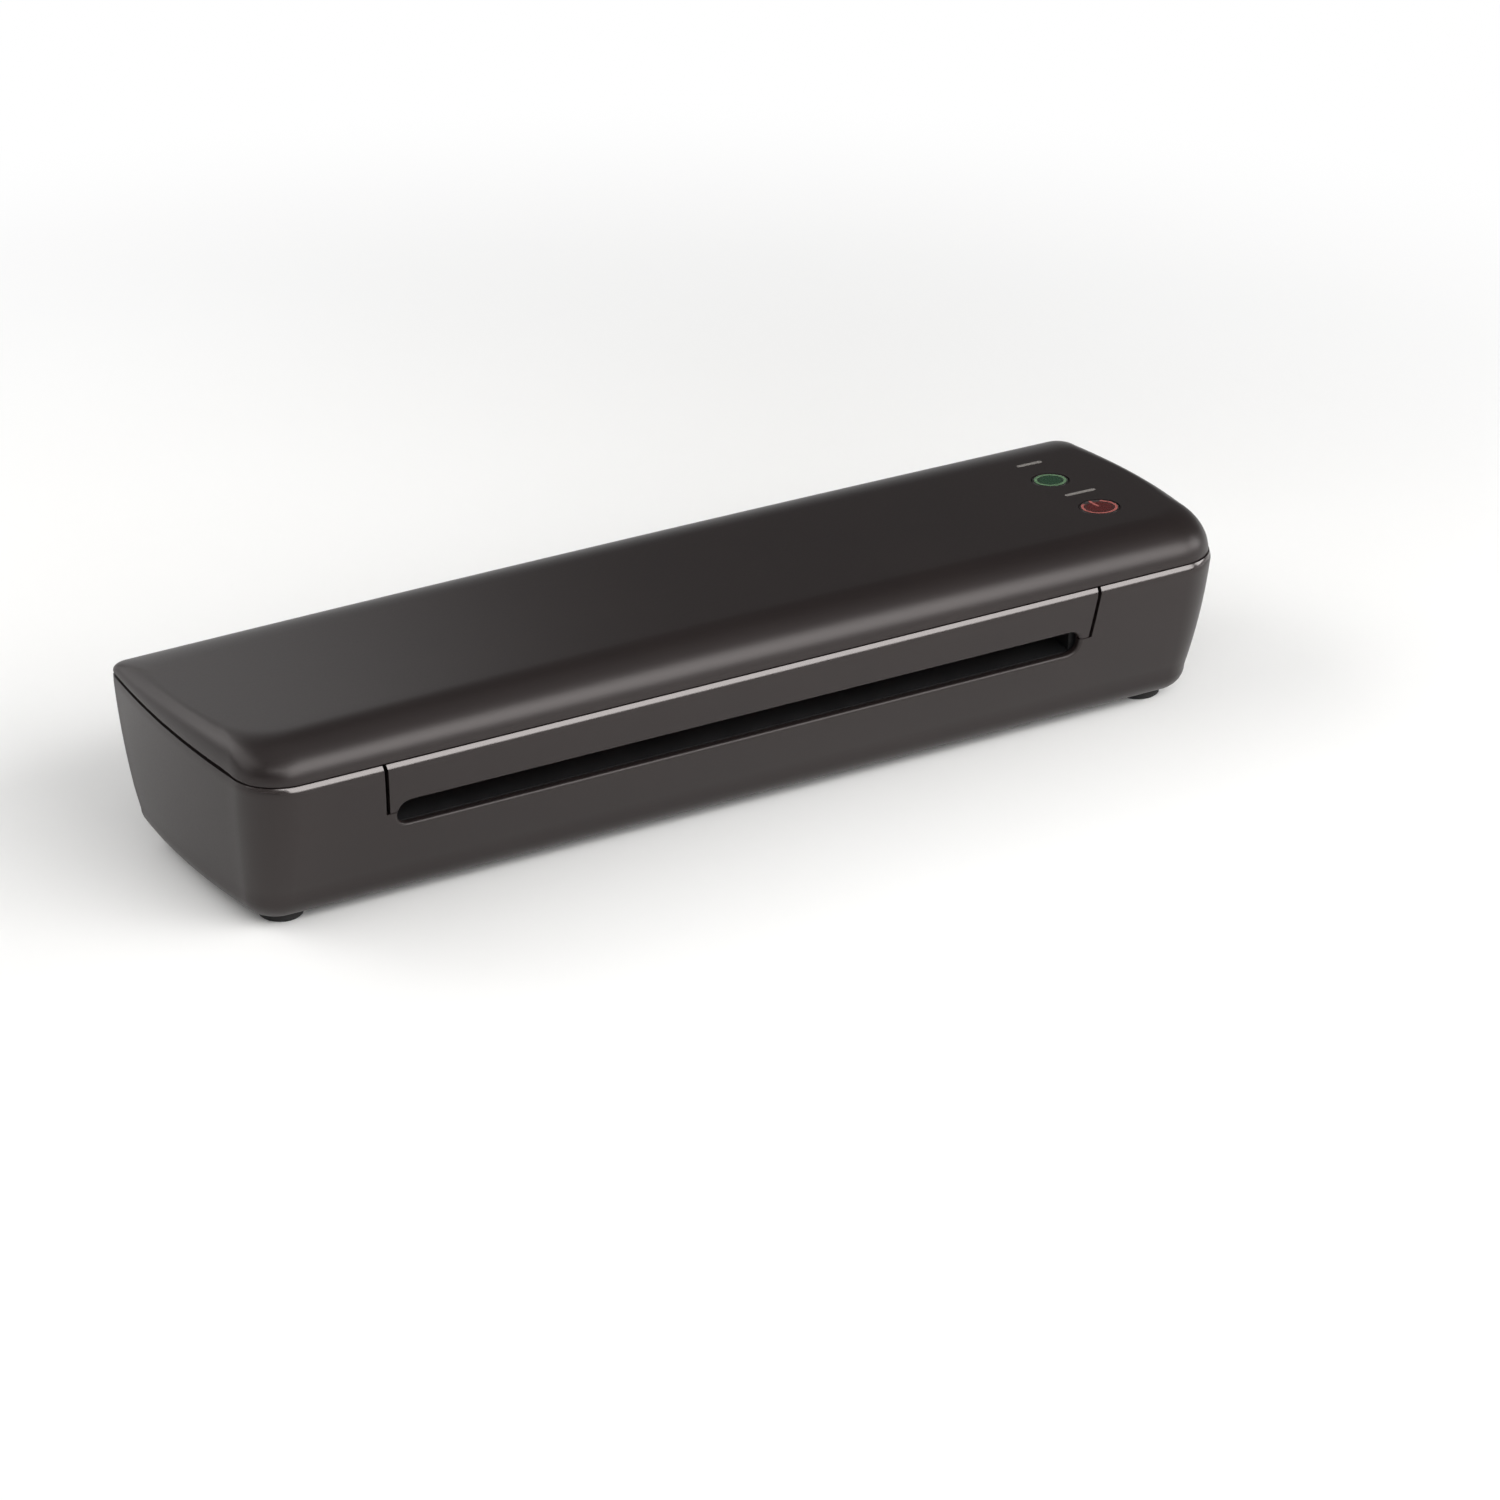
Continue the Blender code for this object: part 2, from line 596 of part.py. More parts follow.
def make_exit_lip(black):
    lip = Solid().loft(tray_loops()).piece("exit_lip", black)
    keep = Solid().prism("Y", lip_outline(0), FRONT_FACE - 5 * MM, FRONT_FACE + 12 * MM)
    combine(lip, keep.guide("lip_keep"), "INTERSECT")
    cut = Solid().loft(slot_loops(FRONT_FACE, FRONT_DRAFT, 1))
    combine(lip, cut.guide("lip_slot"), "DIFFERENCE")


def make_guide(name, start, end, mouth_at_start, black):
    # a funnel for the pouch: tall at the slot, narrow towards the rollers
    half = SLOT_LENGTH / 2
    outer = half + GUIDE_MARGIN / 2
    piece = Solid()
    piece.box(
        (SLOT_MIDDLE - outer, SLOT_MIDDLE + outer),
        (start, end),
        (SLOT_BOTTOM - GUIDE_MARGIN, SLOT_TOP + GUIDE_MARGIN),
    )
    shape = piece.piece(name, black)
    mouth, throat = SLOT_HEIGHT / 2, THROAT_HEIGHT / 2
    first, last = (mouth, throat) if mouth_at_start else (throat, mouth)
    over = 1 * MM
    rate = (last - first) / (end - start)
    profile = [
        (start - over, NIP_Z - first + rate * over),
        (end + over, NIP_Z - last - rate * over),
        (end + over, NIP_Z + last + rate * over),
        (start - over, NIP_Z + first - rate * over),
    ]
    inner = half - GUIDE_MARGIN / 2
    cut = Solid().prism("X", profile, SLOT_MIDDLE - inner, SLOT_MIDDLE + inner)
    combine(shape, cut.guide(name + "_cut"), "DIFFERENCE")


def make_side_plate(name, sign, steel):
    inner = SLOT_MIDDLE + sign * PLATE_INNER
    outer = SLOT_MIDDLE + sign * PLATE_OUTER
    folded = inner - sign * PLATE_FLANGE
    y = (ROLLER_Y - PLATE_FRONT, PLATE_REAR)
    profile = [
        (folded, PLATE_BOTTOM),
        (outer, PLATE_BOTTOM),
        (outer, PLATE_TOP),
        (folded + sign * 1 * MM, PLATE_TOP),
        (folded + sign * 1 * MM, PLATE_TOP - PLATE_THICKNESS),
        (inner, PLATE_TOP - PLATE_THICKNESS),
        (inner, PLATE_BOTTOM + PLATE_THICKNESS),
        (folded, PLATE_BOTTOM + PLATE_THICKNESS),
    ]
    plate = Solid().prism("Y", profile, y[0], y[1]).piece(name, steel)
    cut = Solid()
    x = tuple(sorted((inner - sign * 1 * MM, outer + sign * 1 * MM)))
    wide = (ROLLER_Y - BLOCK_WIDTH / 2 - GAP, ROLLER_Y + BLOCK_WIDTH / 2 + GAP)
    cut.box(x, wide, (LOWER_Z - BLOCK_HEIGHT / 2 - GAP, LOWER_Z + BLOCK_HEIGHT / 2 + GAP))
    cut.box(x, wide, (UPPER_Z - BLOCK_HEIGHT / 2 - GAP, UPPER_Z + BLOCK_HEIGHT / 2 + GAP + LIFT))
    turn = RELEASE_RADIUS + RUNNING_GAP
    cut.rod("X", (RELEASE_Y, RELEASE_Z), turn, x[0], x[1], SMALL_SIDES)
    # the top flange keeps only the seat over the spring
    seat = BLOCK_WIDTH / 2
    reach = tuple(sorted((inner, folded - sign * 2 * MM)))
    for low, high in ((y[0] - 1 * MM, ROLLER_Y - seat), (ROLLER_Y + seat, y[1] + 1 * MM)):
        cut.box(reach, (low, high), (PLATE_TOP - PLATE_THICKNESS - 0.5 * MM, PLATE_TOP + 1 * MM))
    for label, sx, sy in PLATE_SCREWS:
        if (sx - SLOT_MIDDLE) * sign > 0:
            cut.rod("Z", (sx, sy), PILOT_RADIUS, PLATE_BOTTOM - 1 * MM, PLATE_BOTTOM + 4 * MM, SMALL_SIDES)
    combine(plate, cut.guide(name + "_cuts"), "DIFFERENCE")


def make_roller(name, height, steel, silicone):
    origin = (SLOT_MIDDLE, ROLLER_Y, height)
    left = SLOT_MIDDLE - PLATE_OUTER - 3 * MM
    core = ROLLER_LENGTH / 2 + ROLLER_END_GAP / 2
    profile = [
        (left, JOURNAL_RADIUS),
        (SLOT_MIDDLE - core, JOURNAL_RADIUS),
        (SLOT_MIDDLE - core, CORE_RADIUS),
        (SLOT_MIDDLE + core, CORE_RADIUS),
        (SLOT_MIDDLE + core, JOURNAL_RADIUS),
        (GEAR_END + 1 * MM, JOURNAL_RADIUS),
    ]
    Solid().turned("X", (ROLLER_Y, height), profile, SMALL_SIDES).piece(name + "_roller_shaft", steel, origin)
    sleeve = Solid()
    sleeve.ring(
        "X",
        (ROLLER_Y, height),
        ROLLER_RADIUS,
        CORE_RADIUS + GAP,
        SLOT_MIDDLE - ROLLER_LENGTH / 2,
        SLOT_MIDDLE + ROLLER_LENGTH / 2,
    )
    sleeve.piece(name + "_roller_sleeve", silicone, origin)


def make_bearing(name, sign, height, ledge, plastic):
    start = SLOT_MIDDLE + sign * (PLATE_INNER - BLOCK_LENGTH)
    end = SLOT_MIDDLE + sign * (PLATE_OUTER + 1 * MM)
    rear = ROLLER_Y + BLOCK_WIDTH / 2
    outline = [
        (ROLLER_Y - BLOCK_WIDTH / 2, height - BLOCK_HEIGHT / 2),
        (rear, height - BLOCK_HEIGHT / 2),
        (rear, height + BLOCK_HEIGHT / 2),
        (ROLLER_Y - BLOCK_WIDTH / 2, height + BLOCK_HEIGHT / 2),
    ]
    block = Solid().prism("X", outline, start, end).piece(name, plastic, (SLOT_MIDDLE, ROLLER_Y, height))
    if ledge:
        arm = Solid().box(
            tuple(sorted((start, start + sign * (BLOCK_LENGTH - 1 * MM)))),
            (rear - 1 * MM, ROLLER_Y + LEDGE_REACH),
            (LEDGE_BOTTOM, LEDGE_TOP),
        )
        combine(block, arm.guide(name + "_ledge"), "UNION")
    low, high = sorted((start - sign * MM, end + sign * MM))
    bore = Solid().rod("X", (ROLLER_Y, height), JOURNAL_RADIUS + RUNNING_GAP, low, high)
    combine(block, bore.guide(name + "_bore"), "DIFFERENCE")


def make_pressure_spring(name, sign, steel):
    x = SLOT_MIDDLE + sign * SPRING_X
    bottom = UPPER_Z + BLOCK_HEIGHT / 2 + GAP
    top = PLATE_TOP - PLATE_THICKNESS - GAP
    Solid().coil(x, ROLLER_Y, bottom, top, SPRING_RADIUS, SPRING_WIRE, SPRING_TURNS).piece(name, steel)


def gear_outline(teeth, phase):
    # involute teeth, with radial flanks below the base circle
    pitch = MODULE * teeth / 2
    base = pitch * math.cos(PRESSURE_ANGLE)
    tip = pitch + 0.9 * MODULE
    root = pitch - 1.2 * MODULE
    half_tooth = (math.pi * MODULE / 2 - TOOTH_BACKLASH) / 2 / pitch
    involute = math.tan(PRESSURE_ANGLE) - PRESSURE_ANGLE
    flank = []
    start = max(base, root)
    for k in range(4):
        radius = start + (tip - start) * k / 3
        pressure = math.acos(min(base / radius, 1))
        flank.append((radius, half_tooth + involute - (math.tan(pressure) - pressure)))
    if root < base:
        flank.insert(0, (root, flank[0][1]))
    points = []
    for tooth in range(teeth):
        middle = phase + 2 * math.pi * tooth / teeth
        for radius, half in flank:
            points.append((radius, middle - half))
        for radius, half in reversed(flank):
            points.append((radius, middle + half))
    return [(radius * math.cos(angle), radius * math.sin(angle)) for radius, angle in points]


def meshing_phase(phase, direction, teeth, other_teeth):
    # a gap of the other gear faces each tooth on the line between the two axes
    return direction + math.pi - (phase - direction) * teeth / other_teeth - math.pi / other_teeth


LOWER_PHASE = math.pi / 2
UPPER_PHASE = meshing_phase(LOWER_PHASE, math.pi / 2, ROLLER_TEETH, ROLLER_TEETH)
PINION_PHASE = meshing_phase(LOWER_PHASE, PINION_DIRECTION, ROLLER_TEETH, PINION_TEETH)


def make_roller_gear(name, height, phase, plastic):
    outline = [(ROLLER_Y + u, height + v) for u, v in gear_outline(ROLLER_TEETH, phase)]
    origin = (SLOT_MIDDLE, ROLLER_Y, height)
    gear = Solid().prism("X", outline, GEAR_START, GEAR_END).piece(name, plastic, origin)
    bore = Solid().rod("X", (ROLLER_Y, height), JOURNAL_RADIUS + RUNNING_GAP, GEAR_START - MM, GEAR_END + MM)
    combine(gear, bore.guide(name + "_bore"), "DIFFERENCE")


def make_pinion(steel):
    outline = [(PINION_Y + u, PINION_Z + v) for u, v in gear_outline(PINION_TEETH, PINION_PHASE)]
    origin = (SLOT_MIDDLE, PINION_Y, PINION_Z)
    pinion = Solid().prism("X", outline, GEAR_START, GEAR_END).piece("motor_pinion", steel, origin)
    axis = (PINION_Y, PINION_Z)
    shaft = Solid().rod("X", axis, JOURNAL_RADIUS, GEAR_END - MM, MOTOR_FACE - GAP, SMALL_SIDES)
    combine(pinion, shaft.guide("pinion_shaft"), "UNION")


def make_motor(steel, plated):
    centre = (MOTOR_Y, MOTOR_Z)
    edge = 1 * MM
    profile = [
        (MOTOR_FACE, MOTOR_RADIUS - edge),
        (MOTOR_FACE + edge, MOTOR_RADIUS),
        (MOTOR_FACE + MOTOR_LENGTH - edge, MOTOR_RADIUS),
        (MOTOR_FACE + MOTOR_LENGTH, MOTOR_RADIUS - edge),
    ]
    Solid().turned("X", centre, profile).piece("motor_housing", plated)
    y = (MOTOR_Y - MOTOR_RADIUS, MOTOR_Y + MOTOR_RADIUS)
    bottom = PLATE_BOTTOM
    profile = [
        (BRACKET_X, bottom),
        (BRACKET_X + BRACKET_FOOT, bottom),
        (BRACKET_X + BRACKET_FOOT, bottom + BRACKET_THICKNESS),
        (BRACKET_X + BRACKET_THICKNESS, bottom + BRACKET_THICKNESS),
        (BRACKET_X + BRACKET_THICKNESS, MOTOR_Z + MOTOR_RADIUS * 0.8),
        (BRACKET_X, MOTOR_Z + MOTOR_RADIUS * 0.8),
    ]
    bracket = Solid().prism("Y", profile, y[0], y[1]).piece("motor_bracket", steel)
    cut = Solid()
    cut.rod("X", (PINION_Y, PINION_Z), JOURNAL_RADIUS + GAP, BRACKET_X - MM, MOTOR_FACE, SMALL_SIDES)
    for label, sx, sy in BRACKET_SCREWS:
        cut.rod("Z", (sx, sy), PILOT_RADIUS, bottom - MM, bottom + 4 * MM, SMALL_SIDES)
    combine(bracket, cut.guide("bracket_cuts"), "DIFFERENCE")


def make_heater(name, sign, aluminium, mica):
    # a channel section with its smooth face towards the pouch
    face = NIP_Z + sign * HEATER_OPENING / 2
    back = face + sign * HEATER_THICKNESS
    rib = back + sign * HEATER_RIB
    web = HEATER_THICKNESS
    profile = [
        (HEATER_FRONT, rib),
        (HEATER_FRONT, face + sign * 1 * MM),
        (HEATER_FRONT + 1 * MM, face),
        (HEATER_REAR - 1 * MM, face),
        (HEATER_REAR, face + sign * 1 * MM),
        (HEATER_REAR, rib),
        (HEATER_REAR - web, rib),
        (HEATER_REAR - web, back),
        (HEATER_FRONT + web, back),
        (HEATER_FRONT + web, rib),
    ]
    half = HEATER_LENGTH / 2
    plate = Solid().prism("X", profile, SLOT_MIDDLE - half, SLOT_MIDDLE + half)
    plate.piece(name + "_heater_plate", aluminium)
    low = back + sign * GAP
    high = low + sign * ELEMENT_THICKNESS
    Solid().box(
        (SLOT_MIDDLE - ELEMENT_LENGTH / 2, SLOT_MIDDLE + ELEMENT_LENGTH / 2),
        (HEATER_FRONT + web + GAP, HEATER_REAR - web - GAP),
        tuple(sorted((low, high))),
    ).piece(name + "_heating_element", mica)
    return high


def make_release(steel, black):
    axis = (RELEASE_Y, RELEASE_Z)
    origin = (SLOT_MIDDLE, RELEASE_Y, RELEASE_Z)
    left = SLOT_MIDDLE - PLATE_OUTER - 2 * MM
    right = LEVER_X + LEVER_WIDTH / 2 + 1 * MM
    shaft = Solid().rod("X", axis, RELEASE_RADIUS, left, right, SMALL_SIDES)
    shaft = shaft.piece("release_shaft", steel, origin)
    fingers = Solid()
    for sign in (-1, 1):
        x = sorted((SLOT_MIDDLE + sign * (PLATE_INNER - 2 * MM), SLOT_MIDDLE + sign * (PLATE_INNER - 6 * MM)))
        outline = []
        for k in range(9):
            angle = math.radians(90 + 22.5 * k)
            tip = RELEASE_Y - FINGER_REACH
            y, z = FINGER_RADIUS * math.cos(angle), FINGER_RADIUS * math.sin(angle)
            outline.append((tip + y, RELEASE_Z + z))
        outline += [(RELEASE_Y, RELEASE_Z - FINGER_RADIUS), (RELEASE_Y, RELEASE_Z + FINGER_RADIUS)]
        fingers.prism("X", outline, x[0], x[1])
    combine(shaft, fingers.guide("release_fingers"), "UNION")
    half = LEVER_THICKNESS / 2
    hub = RELEASE_RADIUS + 2 * MM
    outline = [
        (RELEASE_Y, RELEASE_Z - hub),
        (REAR_FACE - 12 * MM, RELEASE_Z - half),
        (LEVER_END, RELEASE_Z - half),
        (LEVER_END, RELEASE_Z + half),
        (REAR_FACE - 12 * MM, RELEASE_Z + half),
        (RELEASE_Y, RELEASE_Z + hub),
        (RELEASE_Y - hub * 0.8, RELEASE_Z + hub * 0.6),
        (RELEASE_Y - hub * 0.8, RELEASE_Z - hub * 0.6),
    ]
    x = (LEVER_X - LEVER_WIDTH / 2, LEVER_X + LEVER_WIDTH / 2)
    lever = Solid().prism("X", outline, x[0], x[1]).piece("release_lever", black, origin)
    bore = Solid().rod("X", axis, RELEASE_RADIUS + RUNNING_GAP, x[0] - MM, x[1] + MM, SMALL_SIDES)
    combine(lever, bore.guide("lever_bore"), "DIFFERENCE")


def make_controls(clear, red, green_board, black, steel, white):
    lamp_top = COVER_BASE + cover_height(LAMP_X, LAMP_Y)
    pipe = 2.5 * MM
    led_top = BOARD_TOP + 2.2 * MM
    lens = [
        (led_top + GAP, pipe),
        (lamp_top - COVER_WALL, pipe),
        (lamp_top - COVER_WALL, LAMP_RADIUS),
        (lamp_top, LAMP_RADIUS),
    ]
    Solid().turned("Z", (LAMP_X, LAMP_Y), lens).piece("ready_lamp_lens", clear)
    Solid().turned(
        "Z",
        (LAMP_X, LAMP_Y),
        [(BOARD_TOP + GAP, pipe), (led_top - 1 * MM, pipe), (led_top, pipe * 0.6)],
        SMALL_SIDES,
    ).piece("ready_led", white)

    top = COVER_BASE + cover_height(BUTTON_X, BUTTON_Y)
    under = top - COVER_WALL - COVER_TILT * BUTTON_RADIUS / BODY_DEPTH - GAP
    flange = under - CAP_RIM
    stem = 1.6 * MM
    switch_top = BOARD_TOP + 3.5 * MM
    stem_end = switch_top - 1 * MM
    profile = [
        (stem_end, stem),
        (flange, stem),
        (flange, BUTTON_RADIUS + CAP_RIM),
        (under, BUTTON_RADIUS + CAP_RIM),
        (under, BUTTON_RADIUS),
        (top, BUTTON_RADIUS),
    ]
    centre = (BUTTON_X, BUTTON_Y)
    origin = (BUTTON_X, BUTTON_Y, top)
    Solid().turned("Z", centre, profile).piece("power_button", red, origin)
    half = 4 * MM
    switch = Solid().box(
        (BUTTON_X - half, BUTTON_X + half), (BUTTON_Y - half, BUTTON_Y + half), (BOARD_TOP + GAP, switch_top)
    ).piece("push_switch", black)
    well = Solid().rod(
        "Z", centre, stem + RUNNING_GAP, stem_end - BUTTON_TRAVEL - GAP, switch_top + MM, SMALL_SIDES
    )
    combine(switch, well.guide("switch_well"), "DIFFERENCE")
    Solid().coil(
        BUTTON_X, BUTTON_Y, switch_top + GAP / 2, flange - GAP / 2, stem + 1 * MM, 0.2 * MM, 3
    ).piece("button_spring", steel)

    board = Solid().box(BOARD_X, BOARD_Y, (BOARD_HEIGHT, BOARD_TOP)).piece("control_board", green_board)
    holes = Solid()
    for x, y in BOARD_POSTS:
        holes.rod("Z", (x, y), BOARD_PILOT, BOARD_HEIGHT - MM, BOARD_TOP + MM, SMALL_SIDES)
    combine(board, holes.guide("board_holes"), "DIFFERENCE")


def make_screw(name, x, y, seat, direction, length, finish_used):
    # seat: height of the face that the head bears on; the shank runs in the given direction from it
    head = seat - direction * (SCREW_HEAD_HEIGHT + GAP)
    profile = [
        (head, SCREW_HEAD * 0.8),
        (head + direction * SCREW_HEAD_HEIGHT * 0.4, SCREW_HEAD),
        (seat - direction * GAP, SCREW_HEAD),
        (seat - direction * GAP, SCREW_RADIUS),
        (seat + direction * length, SCREW_RADIUS),
    ]
    Solid().turned("Z", (x, y), profile, 12).piece(name, finish_used)


def make_small_pieces(rubber, black, white, steel, upper_back):
    for name, x, y in CORNERS:
        edge = 0.6 * MM
        profile = [
            (0, FOOT_RADIUS - edge),
            (edge, FOOT_RADIUS),
            (FOOT_HEIGHT - GAP, FOOT_RADIUS),
        ]
        Solid().turned("Z", (x, y), profile).piece("foot_" + name, rubber)
    for name, x, y in CORNERS:
        seat = POST_BOTTOM - GAP - POST_WEB
        make_screw("case_screw_" + name, x, y, seat, 1, SCREW_LENGTH - POST_WEB, steel)
    for name, x, y in PLATE_SCREWS:
        make_screw("plate_screw_" + name, x, y, PLATE_BOTTOM + PLATE_THICKNESS, -1, 4 * MM, steel)
    for name, x, y in BRACKET_SCREWS:
        seat = FLOOR_TOP + PAD_HEIGHT + GAP + BRACKET_THICKNESS
        make_screw("bracket_screw_" + name, x, y, seat, -1, 4 * MM, steel)
    rear = GLAND_SEAT
    inside = rear - WALL - 7 * MM
    profile = [
        (inside, GLAND_RADIUS - 1 * MM),
        (inside + 1 * MM, GLAND_RADIUS),
        (rear, GLAND_RADIUS),
        (rear, GLAND_FLANGE),
        (rear + 2 * MM, GLAND_FLANGE - 0.8 * MM),
    ]
    gland = Solid().turned("Y", (GLAND_X, GLAND_Z), profile).piece("cord_gland", black)
    place = (GLAND_X, GLAND_Z)
    hole = Solid().rod("Y", place, GLAND_RADIUS * 0.55, rear - 20 * MM, rear + 5 * MM, SMALL_SIDES)
    combine(gland, hole.guide("gland_hole"), "DIFFERENCE")
    Solid().box(
        (GLAND_X - TERMINAL_WIDTH / 2, GLAND_X + TERMINAL_WIDTH / 2),
        (BODY_Y - TERMINAL_DEPTH / 2, BODY_Y + TERMINAL_DEPTH / 2),
        (FLOOR_TOP + GAP, FLOOR_TOP + TERMINAL_HEIGHT),
    ).piece("terminal_block", white)
    middle = (HEATER_FRONT + HEATER_REAR) / 2
    step = upper_back + 2 * MM
    profile = [
        (upper_back + GAP, THERMOSTAT_RADIUS),
        (step, THERMOSTAT_RADIUS),
        (step, THERMOSTAT_RADIUS - 2 * MM),
        (RELEASE_Z - RELEASE_RADIUS - THERMOSTAT_CLEARANCE, THERMOSTAT_RADIUS - 2 * MM),
    ]
    Solid().turned("Z", (SLOT_MIDDLE - THERMOSTAT_SIDE, middle), profile).piece("thermostat", black)
    Solid().rod(
        "X",
        (middle, upper_back + GAP + FUSE_RADIUS),
        FUSE_RADIUS,
        SLOT_MIDDLE + FUSE_SIDE - FUSE_LENGTH / 2,
        SLOT_MIDDLE + FUSE_SIDE + FUSE_LENGTH / 2,
        SMALL_SIDES,
    ).piece("thermal_fuse", white)


def build():
    for item in list(bpy.data.objects):
        bpy.data.objects.remove(item, do_unlink=True)
    shell = finish("satin_black_abs", (0.030, 0.027, 0.026), 0.42)
    dark = finish("black_nylon", (0.012, 0.012, 0.013), 0.5)
    steel = finish("zinc_plated_steel", (0.55, 0.56, 0.58), 0.35, 1.0)
    silicone = finish("red_silicone", (0.32, 0.045, 0.030), 0.6)
    nylon = finish("natural_nylon", (0.72, 0.70, 0.62), 0.45)
    aluminium = finish("extruded_aluminium", (0.62, 0.63, 0.65), 0.4, 1.0)
    mica = finish("mica_sheet", (0.35, 0.26, 0.14), 0.55)
    rubber = finish("black_rubber", (0.015, 0.015, 0.015), 0.8)
    clear = finish("smoked_lens", (0.02, 0.05, 0.02), 0.15)
    red = finish("smoked_button", (0.05, 0.01, 0.01), 0.2)
    board = finish("circuit_board", (0.02, 0.13, 0.05), 0.5)

    make_base(shell)
    make_cover(shell)
    make_exit_lip(shell)
    make_guide("exit_guide", EXIT_GUIDE_FRONT, EXIT_GUIDE_FRONT + EXIT_GUIDE_DEPTH, True, dark)
    make_guide("entry_guide", ENTRY_GUIDE_REAR - ENTRY_GUIDE_DEPTH, ENTRY_GUIDE_REAR, False, dark)
    for side, sign in (("left", -1), ("right", 1)):
        make_side_plate(side + "_side_plate", sign, steel)
        make_bearing("lower_bearing_" + side, sign, LOWER_Z, False, nylon)
        make_bearing("upper_bearing_" + side, sign, UPPER_Z, True, nylon)
        make_pressure_spring("pressure_spring_" + side, sign, steel)
    make_roller("lower", LOWER_Z, steel, silicone)
    make_roller("upper", UPPER_Z, steel, silicone)
    make_roller_gear("lower_roller_gear", LOWER_Z, LOWER_PHASE, nylon)
    make_roller_gear("upper_roller_gear", UPPER_Z, UPPER_PHASE, nylon)
    make_pinion(steel)
    make_motor(steel, aluminium)
    make_heater("lower", -1, aluminium, mica)
    upper_back = make_heater("upper", 1, aluminium, mica)
    make_release(steel, dark)
    make_controls(clear, red, board, dark, steel, nylon)
    make_small_pieces(rubber, dark, nylon, steel, upper_back)


build()
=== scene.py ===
import math

import bmesh
import bpy
from mathutils import Matrix, Quaternion, Vector


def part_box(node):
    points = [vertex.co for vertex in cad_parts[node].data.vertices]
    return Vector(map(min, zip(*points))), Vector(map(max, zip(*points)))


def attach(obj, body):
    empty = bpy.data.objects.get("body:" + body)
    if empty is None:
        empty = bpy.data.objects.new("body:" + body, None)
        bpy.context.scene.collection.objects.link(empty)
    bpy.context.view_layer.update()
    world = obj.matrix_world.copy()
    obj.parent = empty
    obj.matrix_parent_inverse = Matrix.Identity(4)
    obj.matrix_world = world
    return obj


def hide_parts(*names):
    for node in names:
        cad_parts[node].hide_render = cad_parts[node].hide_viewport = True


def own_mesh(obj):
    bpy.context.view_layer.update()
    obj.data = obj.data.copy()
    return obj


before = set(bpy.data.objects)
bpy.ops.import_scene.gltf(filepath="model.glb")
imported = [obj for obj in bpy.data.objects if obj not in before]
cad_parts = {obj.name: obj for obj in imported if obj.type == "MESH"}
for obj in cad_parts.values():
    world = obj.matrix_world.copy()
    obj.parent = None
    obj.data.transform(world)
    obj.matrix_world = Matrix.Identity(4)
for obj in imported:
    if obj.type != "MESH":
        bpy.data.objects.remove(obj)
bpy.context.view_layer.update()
mm = 0.001
print("frame loaded:", len(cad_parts), "nodes")

# photograph's view, with the whole 1500 x 1500 picture as the frame
view = {
    "turn": -30.71,        # degrees round the machine
    "height": 25.45,       # degrees above the table
    "focal": 6696.64,      # in picture points
    "distance": 2125.31,   # mm
    "centre": (680.66, 766.09),
    "picture": 1500,
    "bodyY": -2.5,         # mm, middle of the shells
    "sensor": 36,          # mm
    "reach": 50,           # m, the farthest that is seen
}


def setCamera():
    turn, rise = math.radians(view["turn"]), math.radians(view["height"])
    right = Vector((math.cos(turn), math.sin(turn), 0))
    up = Vector((-math.sin(turn) * math.sin(rise), math.cos(turn) * math.sin(rise), math.cos(rise)))
    back = Vector((math.sin(turn) * math.cos(rise), -math.cos(turn) * math.cos(rise), math.sin(rise)))
    scale = view["focal"] / view["distance"]
    half = view["picture"] / 2
    across = (view["centre"][0] - half) / scale
    above = (half - view["centre"][1]) / scale
    place = back * view["distance"] - right * across - up * above
    place.y += view["bodyY"]
    bpy.ops.object.camera_add()
    camera = bpy.context.object
    camera.name = "photoCamera"
    turned = Matrix((right, up, back)).transposed().to_4x4()
    camera.matrix_world = Matrix.Translation(place * mm) @ turned
    camera.data.sensor_width = view["sensor"]
    camera.data.lens = view["focal"] / view["picture"] * view["sensor"]
    camera.data.clip_end = view["reach"]
    bpy.context.scene.camera = camera


bpy.ops.object.select_all(action="DESELECT")
setCamera()
print("camera set")


# working habits: one piece at a time, everything else left alone
def pickOnly(piece):
    if bpy.context.mode != "OBJECT":
        bpy.ops.object.mode_set(mode="OBJECT")
    bpy.ops.object.select_all(action="DESELECT")
    piece.select_set(True)
    bpy.context.view_layer.objects.active = piece


def startPiece(name):
    piece = bpy.context.object
    piece.name = name
    piece.data.name = name
    return piece


def useModifier(piece, kind, **settings):
    pickOnly(piece)
    made = piece.modifiers.new(kind.lower(), kind)
    for key, value in settings.items():
        setattr(made, key, value)
    bpy.ops.object.modifier_apply(modifier=made.name)


def cutWith(piece, cutter, operation="DIFFERENCE"):
    useModifier(piece, "BOOLEAN", object=cutter, operation=operation, solver="EXACT")
    bpy.data.objects.remove(cutter, do_unlink=True)


def outwards(piece):
    pickOnly(piece)
    bpy.ops.object.mode_set(mode="EDIT")
    bpy.ops.mesh.select_all(action="SELECT")
    bpy.ops.mesh.normals_make_consistent(inside=False)
    bpy.ops.object.mode_set(mode="OBJECT")


def smooth(piece, angle=30):
    pickOnly(piece)
    bpy.ops.object.shade_smooth_by_angle(angle=math.radians(angle))


def restHere(piece):
    pickOnly(piece)
    bpy.ops.object.transform_apply(location=True, rotation=True, scale=True)


